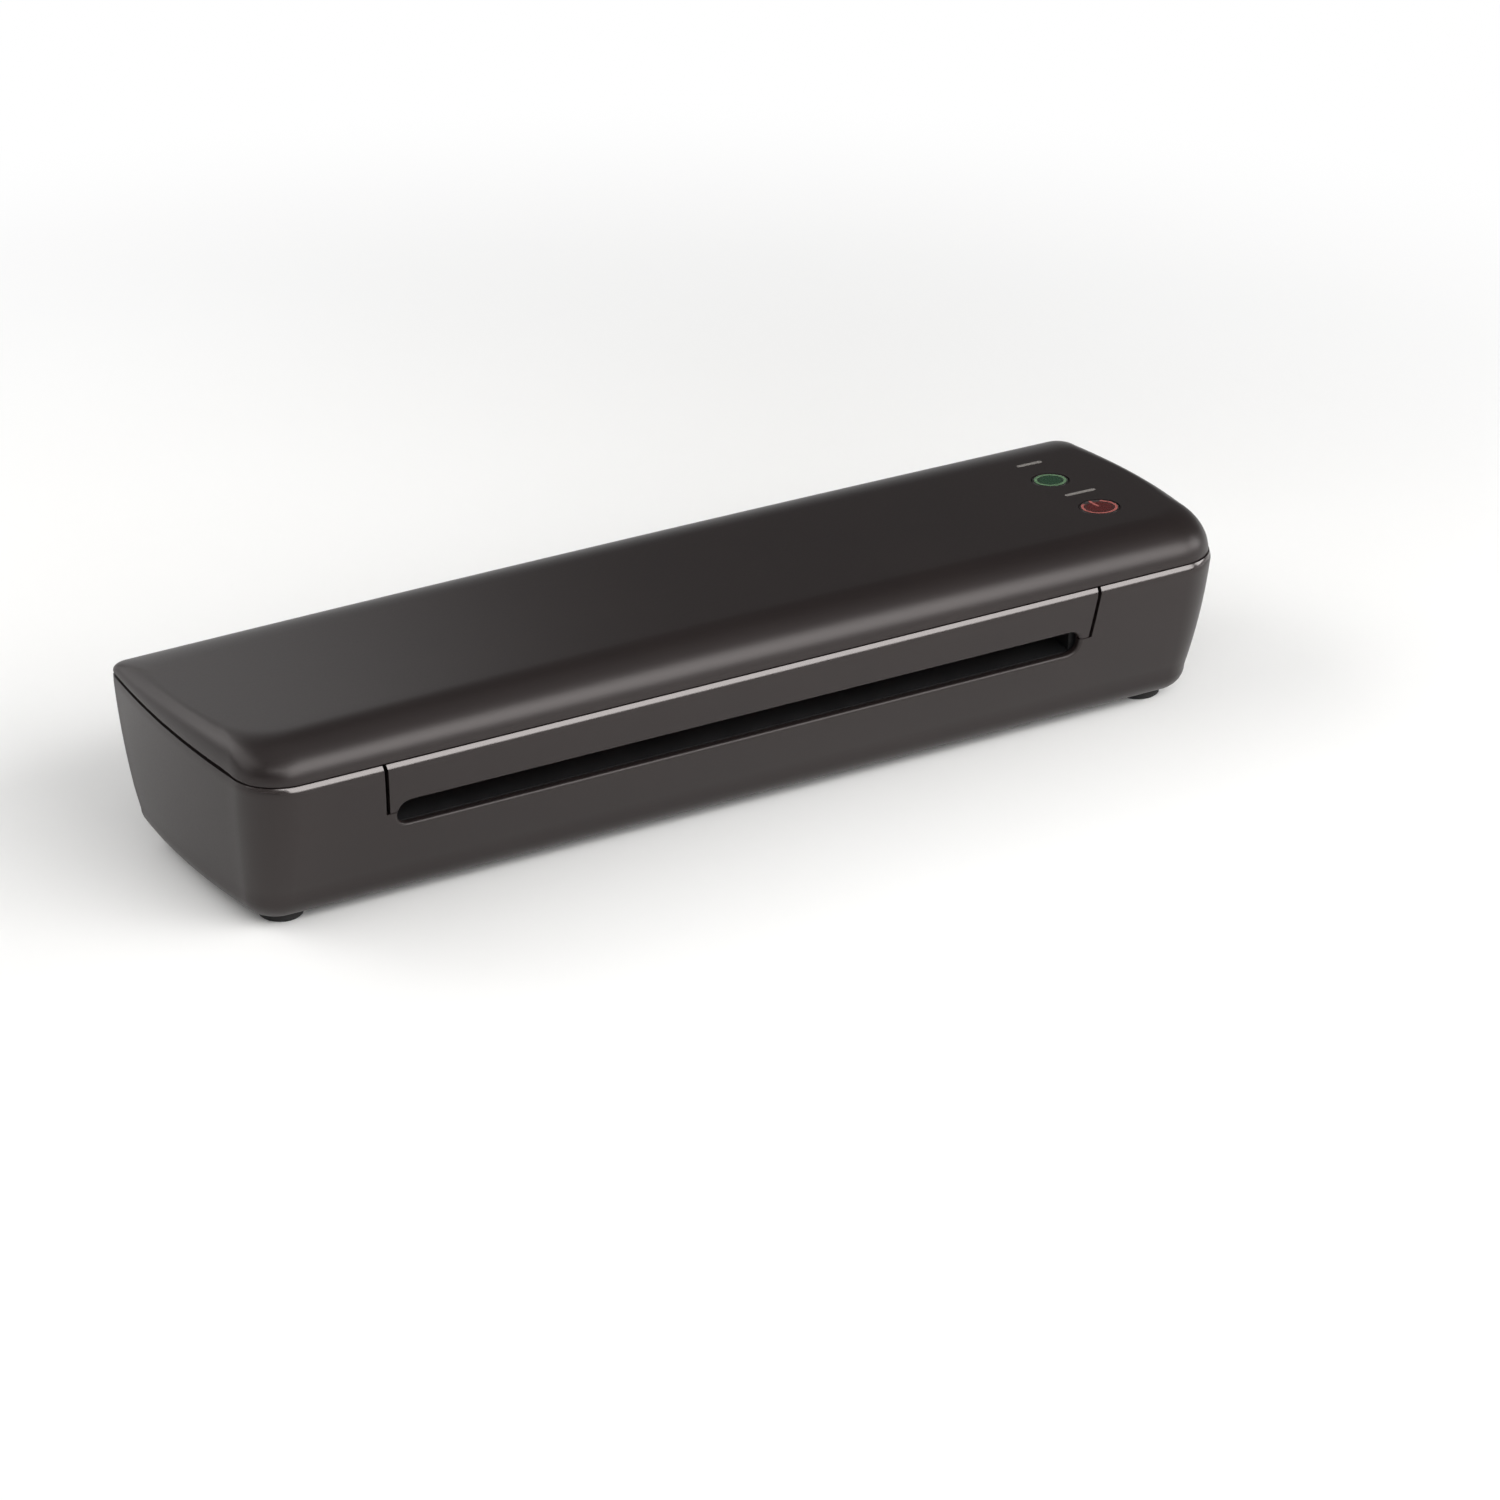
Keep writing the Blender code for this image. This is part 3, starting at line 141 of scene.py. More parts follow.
# a circle is laid on the first outline and extruded from outline to outline
# both ends are capped
def growThrough(name, rings):
    if bpy.context.mode != "OBJECT":
        bpy.ops.object.mode_set(mode="OBJECT")
    bpy.ops.object.select_all(action="DESELECT")
    bpy.ops.mesh.primitive_circle_add(vertices=len(rings[0]), radius=mm)
    piece = startPiece(name)
    bpy.ops.object.mode_set(mode="EDIT")
    mesh = bmesh.from_edit_mesh(piece.data)
    order = mesh.verts.layers.int.new("order")     # carried along by each extrusion
    for index, vertex in enumerate(mesh.verts):
        vertex[order] = index
        vertex.co = rings[0][index]
    bpy.ops.mesh.select_all(action="SELECT")
    bpy.ops.mesh.edge_face_add()
    for ring in rings[1:]:
        bpy.ops.mesh.extrude_region_move()
        mesh = bmesh.from_edit_mesh(piece.data)
        order = mesh.verts.layers.int["order"]
        for vertex in mesh.verts:
            if vertex.select:
                vertex.co = ring[vertex[order]]
        bmesh.update_edit_mesh(piece.data)
    bpy.ops.object.mode_set(mode="OBJECT")
    piece.data.attributes.remove(piece.data.attributes["order"])
    outwards(piece)
    return piece


def joinAll(pieces, name):
    pickOnly(pieces[0])
    for piece in pieces:
        piece.select_set(True)
    bpy.ops.object.join()
    return startPiece(name)


# shells, in mm: length, depth and rim height are those of the solids, and y runs from front to back
shell = {
    "length": 353.8, "depth": 101, "rim": 52.5, "foot": 3, "wall": 2.4, "floor": 2.5,
    "sideBow": 2.2, "rearBow": 0.5, "frontRadius": 16, "rearRadius": 5, "leastRadius": 1.5,
    "sideDraft": 4.6, "frontDraft": 9.7, "rearDraft": 9, "fillet": 8,
    "rimRise": 1.9, "rimInset": 1.25, "rimCrown": 0.13, "rimSide": 0.3,
    "frontY": -53, "rearY": 48, "backRise": 2,
    "cornerSteps": 14, "sideSteps": 16, "edgeSteps": 72,
    "filletSteps": 8, "wallSteps": 12, "rimSteps": 5, "innerSteps": 4,
}
filletTop = shell["foot"] + shell["fillet"]
cover = {
    "step": 1.6, "sideStep": 0.1, "gap": 0.3, "shadowGap": 1.2, "gapFrom": 9, "gapBy": 20,
    "rise": 10.98, "fall": 1.4, "tilt": 4.5,
    "frontRoll": 16.5, "sideRoll": 5.5, "rearRoll": 17, "wall": 2.2, "endWall": 1.2, "steps": 22,
    "crownParts": (0.12, 0.3, 0.5, 0.75, 1), "underStep": 0.1, "underParts": (0.5, 0.75, 1),
}
slot = {
    "middle": -3, "length": 245, "low": 29.7, "high": 38.1, "mouth": 1.3,
    "slitSpacing": 256, "slitWidth": 1.3, "slitDepth": 17.4, "slitLean": 0.11, "fit": 0.3,
    "endSteps": 16, "mouthTurns": (12, 25, 40, 55, 72, 90),
    "before": 4, "through": 9,               # the cutter starts ahead of the wall and runs past it
    "above": 2, "lipReach": (-5, 12),        # past the rim, and before and behind the front
}


# the walls lean in towards the bottom, half of it evenly and half along a curve
def leanShare(share):
    return 0.5 * share + 0.5 * share * share


def wallLean(height):
    return leanShare((shell["rim"] - height) / (shell["rim"] - filletTop))


def cornerArc(x, y, radius, start, count):
    points = []
    for k in range(count):
        angle = math.radians(start + 90 * k / shell["cornerSteps"])
        points.append((x + radius * math.cos(angle), y + radius * math.sin(angle)))
    return points


def shellOutline(side, front, rear, shrink):
    half = shell["length"] / 2 - shell["sideBow"] - side
    near, far = shell["frontY"] + front, shell["rearY"] - shell["rearBow"] - rear
    roundFront = max(shell["frontRadius"] - shrink, shell["leastRadius"])
    roundRear = max(shell["rearRadius"] - shrink, shell["leastRadius"])
    low, high = near + roundFront, far - roundRear
    right = cornerArc(half - roundFront, low, roundFront, -90, shell["cornerSteps"])
    for k in range(shell["sideSteps"]):
        bow = 2 * k / shell["sideSteps"] - 1
        y = low + (high - low) * k / shell["sideSteps"]
        right.append((half + shell["sideBow"] * (1 - bow * bow), y))
    right += cornerArc(half - roundRear, high, roundRear, 0, shell["cornerSteps"] + 1)
    left = [(-x, y) for x, y in reversed(right)]
    rearEdge, frontEdge = [], []
    for k in range(1, shell["edgeSteps"]):
        share = 1 - 2 * k / shell["edgeSteps"]
        rearEdge.append(((half - roundRear) * share, far + shell["rearBow"] * (1 - share * share)))
        frontEdge.append((-(half - roundFront) * share, near))
    return right + rearEdge + left + frontEdge


# the parting line climbs a little from the front corners to the back
def partingRise(y):
    start = shell["frontY"] + shell["frontRadius"]
    return shell["backRise"] * min(max((y - start) / (shell["rearY"] - start), 0), 1)


def wallRing(height, share, inset, frontInset=None):
    lean = leanShare(share)
    front = inset if frontInset is None else frontInset
    points = shellOutline(
        shell["sideDraft"] * lean + inset,
        shell["frontDraft"] * lean + front,
        shell["rearDraft"] * lean + inset,
        shell["sideDraft"] * lean + (inset + front) / 2,
    )
    upper = max(height - filletTop, 0) / (shell["rim"] - filletTop)
    return [Vector((x, y, height + upper * partingRise(y))) * mm for x, y in points]


# up the outside from the bottom, over the crowned bevel of the rim, and down the inside to the floor
def trayRings():
    deep = shell["rim"] - filletTop
    rings = []
    for step in range(shell["filletSteps"] + 1):
        angle = math.radians(90 * step / shell["filletSteps"])
        inset = shell["fillet"] * (1 - math.sin(angle))
        rings.append(wallRing(filletTop - shell["fillet"] * math.cos(angle), 1, inset))
    for step in range(1, shell["wallSteps"]):
        share = 1 - step / shell["wallSteps"]
        rings.append(wallRing(shell["rim"] - deep * share, share, 0))
    slope = math.hypot(shell["rimRise"], shell["rimInset"])
    for step in range(shell["rimSteps"] + 1):
        part = step / shell["rimSteps"]
        crown = shell["rimCrown"] * 4 * part * (1 - part) / slope
        under = shell["rimRise"] * (1 - part) - crown * shell["rimInset"]
        inset = shell["rimInset"] * part - crown * shell["rimRise"]
        rings.append(wallRing(shell["rim"] - under, under / deep, shell["rimSide"] * part, inset))
    rings.append(wallRing(shell["rim"], 0, shell["rimInset"] + shell["wall"]))
    for step in range(1, shell["innerSteps"] + 1):
        share = step / shell["innerSteps"]
        rings.append(wallRing(shell["rim"] - deep * share, share, shell["wall"]))
    rings.append(wallRing(shell["foot"] + shell["floor"], 1, shell["fillet"]))
    return rings


def stadium(middle, length, low, high, grow):
    radius = (high - low) / 2 + grow
    points = []
    for sign in (1, -1):
        for k in range(slot["endSteps"] + 1):
            angle = math.radians(-90 + 180 * k / slot["endSteps"])
            points.append((
                middle + sign * (length / 2 - (high - low) / 2 + radius * math.cos(angle)),
                (high + low) / 2 + sign * radius * math.sin(angle),
            ))
    return points


# the slot's mouth is rounded, and follows the lean of the wall
def slotCutter(front):
    rings = []
    mouth = slot["mouth"]
    profile = [(-slot["before"], mouth)]
    for angle in slot["mouthTurns"]:
        turn = math.radians(angle)
        profile.append((mouth * (1 - math.cos(turn)), mouth * (1 - math.sin(turn))))
    profile.append((slot["through"], 0))
    for deep, grow in profile:
        ring = []
        for x, z in stadium(slot["middle"], slot["length"], slot["low"], slot["high"], grow):
            if front:
                y = shell["frontY"] + shell["frontDraft"] * wallLean(z) + deep
            else:
                y = shell["rearY"] - shell["rearDraft"] * wallLean(z) - deep
            ring.append(Vector((x, y, z)) * mm)
        rings.append(ring)
    return growThrough("slotCutter", rings)


# the lip's outline between its two leaning slits, wider by grow
def lipCutter(grow):
    top = shell["rim"] + slot["above"]
    low = shell["rim"] - slot["slitDepth"] - (slot["fit"] if grow else 0)
    halfTop = slot["slitSpacing"] / 2 - slot["slitWidth"] / 2 + grow + slot["slitLean"] * slot["above"]
    halfLow = halfTop - slot["slitLean"] * (top - low)
    middle = slot["middle"]
    outline = [
        (middle - halfLow, low), (middle + halfLow, low),
        (middle + halfTop, top), (middle - halfTop, top),
    ]
    ends = [shell["frontY"] + reach for reach in slot["lipReach"]]
    return growThrough("lipCutter", [[Vector((x, y, z)) * mm for x, z in outline] for y in ends])


def boxCutter(low, high):
    bpy.ops.object.select_all(action="DESELECT")
    size = [b - a for a, b in zip(low, high)]
    middle = [(a + b) / 2 * mm for a, b in zip(low, high)]
    bpy.ops.mesh.primitive_cube_add(size=mm, location=middle, scale=size)
    cutter = startPiece("boxCutter")
    restHere(cutter)
    return cutter


def rodCutter(axis, centre, radius, start, end, sides=32):
    bpy.ops.object.select_all(action="DESELECT")
    middle = (start + end) / 2
    place = {"Y": (centre[0], middle, centre[1]), "Z": (centre[0], centre[1], middle)}[axis]
    turn = (math.pi / 2, 0, 0) if axis == "Y" else (0, 0, 0)
    bpy.ops.mesh.primitive_cylinder_add(
        vertices=sides, radius=radius * mm, depth=(end - start) * mm,
        location=[v * mm for v in place], rotation=turn)
    cutter = startPiece("rodCutter")
    restHere(cutter)
    return cutter


# base: a drafted tray with slots, vents, the lever's slot, the cord's hole and posts over the feet
base = {
    "vents": 9, "ventPitch": 22, "ventLength": 13, "ventWidth": 2.6, "ventRows": (-2.27, 15.23),
    "ventSpan": (2, 6), "lever": ((125.5, 35, 27.0), (133.5, 53, 48.8)),
    "gland": (-146, 20), "glandRadius": 5.3, "glandSpan": (30, 53),
    "feetX": 156, "feetY": (-29.5, 24.5), "postRadius": 4.5, "postSpan": (4, 42.2), "postWeb": 3,
    "screwWell": 3.3, "wellBottom": 2, "screwHole": 1.8, "clear": 0.3, "overrun": 1,
    "bracketScrews": ("bracket_screw_front", "bracket_screw_rear"),
}


def makeBase():
    piece = growThrough("baseShell", trayRings())
    feet = [(x, y) for x in (-base["feetX"], base["feetX"]) for y in base["feetY"]]
    posts = [rodCutter("Z", foot, base["postRadius"], *base["postSpan"]) for foot in feet]
    cutWith(piece, joinAll(posts, "posts"), "UNION")
    cutWith(piece, lipCutter(slot["slitWidth"]))
    cutWith(piece, slotCutter(True))
    cutWith(piece, slotCutter(False))
    cutters = [boxCutter(*base["lever"])]
    cutters.append(rodCutter("Y", base["gland"], base["glandRadius"], *base["glandSpan"]))
    screwHoles = []
    past, top = base["overrun"], base["postSpan"][1]
    web = top - base["postWeb"]
    for foot in feet:
        cutters.append(rodCutter("Z", foot, base["screwWell"], base["wellBottom"], web))
        screwHoles.append(rodCutter("Z", foot, base["screwHole"], web - past, top + past))
    for node in base["bracketScrews"]:
        low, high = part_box(node)
        middle = ((low[0] + high[0]) / 2 / mm, (low[1] + high[1]) / 2 / mm)
        start, end = low[2] / mm - base["clear"], shell["foot"] + shell["floor"] + past
        screwHoles.append(rodCutter("Z", middle, base["screwHole"], start, end))
    for row in base["ventRows"]:
        for k in range(base["vents"]):
            x = slot["middle"] + (k - (base["vents"] - 1) / 2) * base["ventPitch"]
            half, long = base["ventWidth"] / 2, base["ventLength"] / 2
            low, high = base["ventSpan"]
            cutters.append(boxCutter((x - half, row - long, low), (x + half, row + long, high)))
    cutWith(piece, joinAll(cutters, "baseCutters"))
    cutWith(piece, joinAll(screwHoles, "screwHoles"))
    smooth(piece)
    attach(piece, "frame")
    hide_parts("base_housing")
    print("base made:", len(piece.data.polygons), "faces")
    return piece


def makeLip():
    piece = growThrough("exitLip", trayRings())
    cutWith(piece, lipCutter(0), "INTERSECT")
    cutWith(piece, slotCutter(True))
    smooth(piece)
    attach(piece, "frame")
    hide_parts("exit_lip")
    print("exit lip made:", len(piece.data.polygons), "faces")
    return piece


def coverHeight(x, y):
    middle = (shell["frontY"] + shell["rearY"]) / 2
    across = (y - middle) / shell["depth"]
    return cover["rise"] - cover["tilt"] * across - cover["fall"] * (2 * x / shell["length"]) ** 2


# the parting line is a close joint at the front and opens to a shadow gap round the sides and back
def edgeLift(y):
    share = (y - shell["frontY"] - cover["gapFrom"]) / (cover["gapBy"] - cover["gapFrom"])
    return cover["shadowGap"] * min(max(share, 0), 1) + partingRise(y)


# the front and back roll over in a wide quarter of an ellipse, and the ends in a tight one
def coverRing(share, drop=0, inset=0):
    rise = math.sqrt(max(1 - (1 - min(share, 1)) ** 2, 0))
    flat = max(share - 1, 0) * cover["frontRoll"]
    points = shellOutline(
        cover["sideStep"] + min(share, 1) * cover["sideRoll"] + flat + inset,
        cover["step"] + share * cover["frontRoll"],
        cover["sideStep"] + share * cover["rearRoll"],
        flat,
    )
    ring = []
    for x, y in points:
        edge = edgeLift(y)
        height = edge + (coverHeight(x, y) - edge) * rise - drop
        ring.append(Vector((x, y, shell["rim"] + cover["gap"] + max(height, edge))) * mm)
    return ring


def makeCover():
    widest = max(cover["frontRoll"], cover["rearRoll"])
    crown = (shell["depth"] / 2 - cover["step"] - 2 * shell["leastRadius"]) / widest
    outer = []
    for step in range(cover["steps"] + 1):
        turn = math.pi / 2 * step / cover["steps"]
        outer.append(coverRing(1 - math.cos(turn)))
    for part in cover["crownParts"]:
        outer.append(coverRing(1 + (crown - 1) * part))
    edge = 2 * cover["wall"] / cover["rearRoll"]
    seat = []    # inner edge of the face that lies on the base
    for point in coverRing(edge, 0, cover["endWall"]):
        height = shell["rim"] + cover["gap"] + edgeLift(point.y / mm)
        seat.append(Vector((point.x, point.y, height * mm)))
    under = [seat]
    for share in (edge, edge + cover["underStep"], *cover["underParts"], crown):
        under.append(coverRing(share, cover["wall"], cover["endWall"]))
    piece = growThrough("coverShell", list(reversed(outer)) + under)
    useModifier(piece, "TRIANGULATE", min_vertices=5, ngon_method="BEAUTY")    # lays faces across the crown
    holes = []
    for spot in ("lamp", "button"):
        radius = controls[spot + "Radius"] + controls["holeFit"]
        holes.append(rodCutter("Z", controls[spot], radius, *controls["holeSpan"], controls["sides"]))
    cutWith(piece, joinAll(holes, "controlHoles"))
    smooth(piece)
    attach(piece, "frame")
    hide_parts("top_cover")
    print("cover made:", len(piece.data.polygons), "faces")
    return piece


# lamp and button at the right end, flush with the cover
controls = {
    "lamp": (146.3, 9.7), "lampRadius": 6, "lampUnder": 60.78, "lampPipe": (2.5, 54.8),
    "button": (146.3, -19.2), "buttonRadius": 6.5, "buttonUnder": 60.65, "buttonFlange": (8, 59.65),
    "buttonStem": (1.6, 54.8), "sink": 0.06, "edge": 0.3, "sides": 96,
    "ring": (5.3, 4.35), "sign": (5.9, 5.05), "signGap": 34, "bar": (0.95, 0.5, 6.2), "print": 0.04,
    "labels": ((143.8, 153.3, 25.7), (142.5, 154.0, -5.0)), "labelHeight": 1.7,
    "holeFit": 0.3, "holeSpan": (58, 72), "capRings": (0.6, 0.2), "signRound": 0.48, "labelRound": 0.9,
}


def coverTop(x, y):
    return shell["rim"] + cover["gap"] + coverHeight(x, y)


# a turned piece whose top follows the crown of the cover
def turnedPiece(name, centre, profile):
    middle = coverTop(*centre)
    rings = []
    for height, radius, follows in profile:
        ring = []
        for k in range(controls["sides"]):
            turn = 2 * math.pi * k / controls["sides"]
            x, y = centre[0] + radius * math.cos(turn), centre[1] + radius * math.sin(turn)
            lift = coverTop(x, y) - middle if follows else 0
            ring.append(Vector((x, y, height + lift)) * mm)
        rings.append(ring)
    return growThrough(name, rings)


# a rounded edge and a flush top
def roundedTop(top, radius):
    edge = controls["edge"]
    profile = []
    for angle in (0, 30, 60, 90):
        turn = math.radians(angle)
        profile.append((top - edge + edge * math.sin(turn), radius - edge + edge * math.cos(turn), True))
    for share in controls["capRings"]:
        profile.append((top, radius * share, True))
    return profile


def makeLens():
    top = coverTop(*controls["lamp"]) - controls["sink"]
    radius, under = controls["lampRadius"], controls["lampUnder"]
    pipe, low = controls["lampPipe"]
    profile = [(low, pipe, False), (under, pipe, False), (under, radius, False)]
    profile += roundedTop(top, radius)
    piece = turnedPiece("lampLens", controls["lamp"], profile)
    smooth(piece, angle=40)
    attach(piece, "frame")
    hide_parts("ready_lamp_lens")
    return piece


def makeButton():
    top = coverTop(*controls["button"]) - controls["sink"]
    radius, under = controls["buttonRadius"], controls["buttonUnder"]
    stem, low = controls["buttonStem"]
    wide, flange = controls["buttonFlange"]
    profile = [(low, stem, False), (flange, stem, False), (flange, wide, False), (under, wide, False)]
    profile.append((under, radius, False))
    profile += roundedTop(top, radius)
    piece = turnedPiece("buttonCap", controls["button"], profile)
    smooth(piece, angle=40)
    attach(piece, "button")
    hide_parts("power_button")
    return piece


# flat printed shapes are laid on the surface below them and given the ink's thickness
def layPrint(piece, sink):
    pickOnly(piece)
    bpy.ops.object.mode_set(mode="EDIT")
    mesh = bmesh.from_edit_mesh(piece.data)
    for vertex in mesh.verts:
        vertex.co.z = (coverTop(vertex.co.x / mm, vertex.co.y / mm) - sink) * mm
    bmesh.update_edit_mesh(piece.data)
    bpy.ops.mesh.select_mode(type="FACE")
    bpy.ops.mesh.select_all(action="DESELECT")
    mesh = bmesh.from_edit_mesh(piece.data)
    mesh.normal_update()
    for face in mesh.faces:
        face.select_set(face.normal.z < 0)
    bmesh.update_edit_mesh(piece.data)
    bpy.ops.mesh.flip_normals()
    bpy.ops.mesh.select_mode(type="VERT")
    bpy.ops.object.mode_set(mode="OBJECT")
    useModifier(piece, "SOLIDIFY", thickness=controls["print"] * mm, offset=1)
    smooth(piece)


def printedRing(name, centre, outer, inner, gap):
    place = (centre[0] * mm, centre[1] * mm, 0)
    bpy.ops.object.select_all(action="DESELECT")
    bpy.ops.mesh.primitive_circle_add(vertices=controls["sides"], radius=outer * mm, location=place)
    piece = startPiece(name)
    restHere(piece)
    bpy.ops.object.mode_set(mode="EDIT")
    bpy.ops.mesh.select_all(action="SELECT")
    bpy.ops.mesh.extrude_region_move()
    shrink = inner / outer
    bpy.ops.transform.resize(value=(shrink, shrink, 1), center_override=place)
    if gap:
        bpy.ops.mesh.select_mode(type="FACE")
        bpy.ops.mesh.select_all(action="DESELECT")
        mesh = bmesh.from_edit_mesh(piece.data)
        for face in mesh.faces:
            middle = face.calc_center_median()
            away = math.degrees(math.atan2(middle.x - place[0], middle.y - place[1]))
            face.select_set(abs(away) < gap)
        bmesh.update_edit_mesh(piece.data)
        bpy.ops.mesh.delete(type="FACE")
        bpy.ops.mesh.select_mode(type="VERT")
    bpy.ops.object.mode_set(mode="OBJECT")
    return piece


def printedBar(name, low, high, rounded):
    bpy.ops.object.select_all(action="DESELECT")
    middle = [(a + b) / 2 * mm for a, b in zip(low, high)]
    bpy.ops.mesh.primitive_plane_add(size=mm, location=(middle[0], middle[1], 0))
    piece = startPiece(name)
    piece.scale = (high[0] - low[0], high[1] - low[1], 1)
    restHere(piece)
    bpy.ops.object.mode_set(mode="EDIT")
    bpy.ops.mesh.select_all(action="SELECT")
    bpy.ops.mesh.bevel(offset=rounded * mm, segments=6, affect="VERTICES")
    bpy.ops.object.mode_set(mode="OBJECT")
    return piece


def makePrints():
    lampRing = printedRing("lampRing", controls["lamp"], *controls["ring"], 0)
    layPrint(lampRing, controls["sink"])
    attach(lampRing, "frame")
    x, y = controls["button"]
    arc = printedRing("powerArc", controls["button"], *controls["sign"], controls["signGap"])
    wide, start, end = controls["bar"]
    rounded = wide * controls["signRound"]
    bar = printedBar("powerBar", (x - wide / 2, y + start), (x + wide / 2, y + end), rounded)
    sign = joinAll([arc, bar], "powerSign")
    layPrint(sign, controls["sink"])
    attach(sign, "button")
    labels = []
    for start, end, height in controls["labels"]:
        half = controls["labelHeight"] / 2
        rounded = half * controls["labelRound"]
        labels.append(printedBar("label", (start, height - half), (end, height + half), rounded))
    marks = joinAll(labels, "labelBars")
    layPrint(marks, 0)
    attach(marks, "frame")
    print("prints laid")
    return lampRing, sign, marks


# outer fittings: a copy of each solid, merged, with its sharp edges rounded as a mould leaves them
fittings = {
    "releaseTab": {"node": "release_lever", "body": "release", "slot": "black_nylon", "radius": 0.45},
    "cordGland": {"node": "cord_gland", "body": "frame", "slot": "black_nylon", "radius": 0.4},
}
for end in ("Front", "Rear"):
    for side in ("Left", "Right"):
        node = "foot_" + end.lower() + "_" + side.lower()
        fittings["foot" + end + side] = {"node": node, "body": "frame", "slot": "rubber", "radius": 0.12}
rounding = {"merge": 0.002, "flat": 1, "sharp": 35, "segments": 3}      # mm, then degrees


def makeFitting(name):
    made = fittings[name]
    piece = bpy.data.objects.new(name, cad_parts[made["node"]].data.copy())
    bpy.context.scene.collection.objects.link(piece)
    piece.data.name = name
    pickOnly(piece)
    bpy.ops.object.mode_set(mode="EDIT")
    bpy.ops.mesh.select_all(action="SELECT")
    bpy.ops.mesh.remove_doubles(threshold=rounding["merge"] * mm)
    bpy.ops.mesh.dissolve_limited(angle_limit=math.radians(rounding["flat"]))
    bpy.ops.object.mode_set(mode="OBJECT")
    useModifier(
        piece, "BEVEL", width=made["radius"] * mm, segments=rounding["segments"],
        limit_method="ANGLE", angle_limit=math.radians(rounding["sharp"]))
    smooth(piece, angle=40)
    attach(piece, made["body"])
    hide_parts(made["node"])
    print("fitting made:", name, len(piece.data.polygons), "faces")
    return piece


# springs are wound from a round wire
springs = {
    "pressureSpringLeft": {
        "node": "pressure_spring_left", "place": (-124, -21.5), "height": (50.35, 56.85), "coil": 2.6,
        "wire": 0.5, "turns": 4, "joint": "carriage_lift", "fixed": 56.85, "keep": 0.8},
    "pressureSpringRight": {
        "node": "pressure_spring_right", "place": (118, -21.5), "height": (50.35, 56.85), "coil": 2.6,
        "wire": 0.5, "turns": 4, "joint": "carriage_lift", "fixed": 56.85, "keep": 0.8},
    "buttonSpring": {
        "node": "button_spring", "place": (146.3, -19.2), "height": (55.95, 59.5), "coil": 2.6,
        "wire": 0.2, "turns": 3, "joint": "power_button_press", "fixed": 55.95, "keep": 0.74},
}
winding = {"sides": 12, "steps": 32}       # round the wire, and along each turn


def makeSpring(name):
    made = springs[name]
    low, high = made["height"]
    x, y = made["place"]
    wire = made["wire"]
    bpy.ops.object.select_all(action="DESELECT")
    bpy.ops.mesh.primitive_circle_add(
        vertices=winding["sides"], radius=wire * mm,
        location=(made["coil"] * mm, 0, 0), rotation=(math.pi / 2, 0, 0))
    piece = startPiece(name)
    restHere(piece)
    pitch = (high - low - 2 * wire) / made["turns"]
    useModifier(
        piece, "SCREW", axis="Z", angle=2 * math.pi, screw_offset=pitch * mm,
        iterations=made["turns"], steps=winding["steps"], render_steps=winding["steps"])
    bpy.ops.object.mode_set(mode="EDIT")
    bpy.ops.mesh.select_all(action="SELECT")
    bpy.ops.mesh.fill_holes(sides=0)
    bpy.ops.object.mode_set(mode="OBJECT")
    outwards(piece)
    piece.location = (x * mm, y * mm, (low + wire) * mm)
    restHere(piece)
    smooth(piece, angle=60)
    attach(piece, "frame")
    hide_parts(made["node"])
    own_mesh(piece)
    print("spring wound:", name)
    return piece


baseShell = makeBase()
exitLip = makeLip()
coverShell = makeCover()
lampLens = makeLens()
buttonCap = makeButton()
print("lens and button made")
lampRing, powerSign, labelBars = makePrints()
woundSprings = [makeSpring(name) for name in springs]
outerFittings = {name: makeFitting(name) for name in fittings}


# a colour as screens show it, turned into the linear one that the renderer mixes
def hexColour(code):
    parts = [int(code[k:k + 2], 16) / 255 for k in (1, 3, 5)]
    linear = [c / 12.92 if c <= 0.04045 else ((c + 0.055) / 1.055) ** 2.4 for c in parts]
    return (*linear, 1)


def addNode(tree, kind, values={}, links={}, **settings):
    node = tree.nodes.new(kind)
    for key, value in settings.items():
        setattr(node, key, value)
    for key, value in values.items():
        node.inputs[key].default_value = value
    for key, source in links.items():
        tree.links.new(source, node.inputs[key])
    return node


def startMaterial(name):
    made = bpy.data.materials.new(name)
    made.use_nodes = True
    tree = made.node_tree
    shader = tree.nodes["Principled BSDF"]
    place = addNode(tree, "ShaderNodeTexCoord").outputs["Object"]
    return made, tree, shader, place


# finishes, with sizes and depths of their marks in mm
satin = {
    "dark": "#1b1616", "light": "#221c1b", "tint": "#fff8f6", "grain": 0.7, "cloud": 40, "deep": 0.03,
    "bump": 0.25, "roughness": (0.33, 0.41), "ior": 1.46,
}
# the bevel's tones are lighter than the satin ABS: a painted highlight along the front rim, beside the real
# reflection that its low roughness gives
rimFinishAndPaintedHighlight = {
    "dark": "#2c2726", "light": "#363130", "tint": "#fff8f6", "cloud": 12, "scratch": 0.5,
    "roughness": (0.14, 0.20), "ior": 1.8,
    "upward": (0.3, 0.95), "margin": 0.01,     # how far up its faces look, and mm kept off the flat rim
}


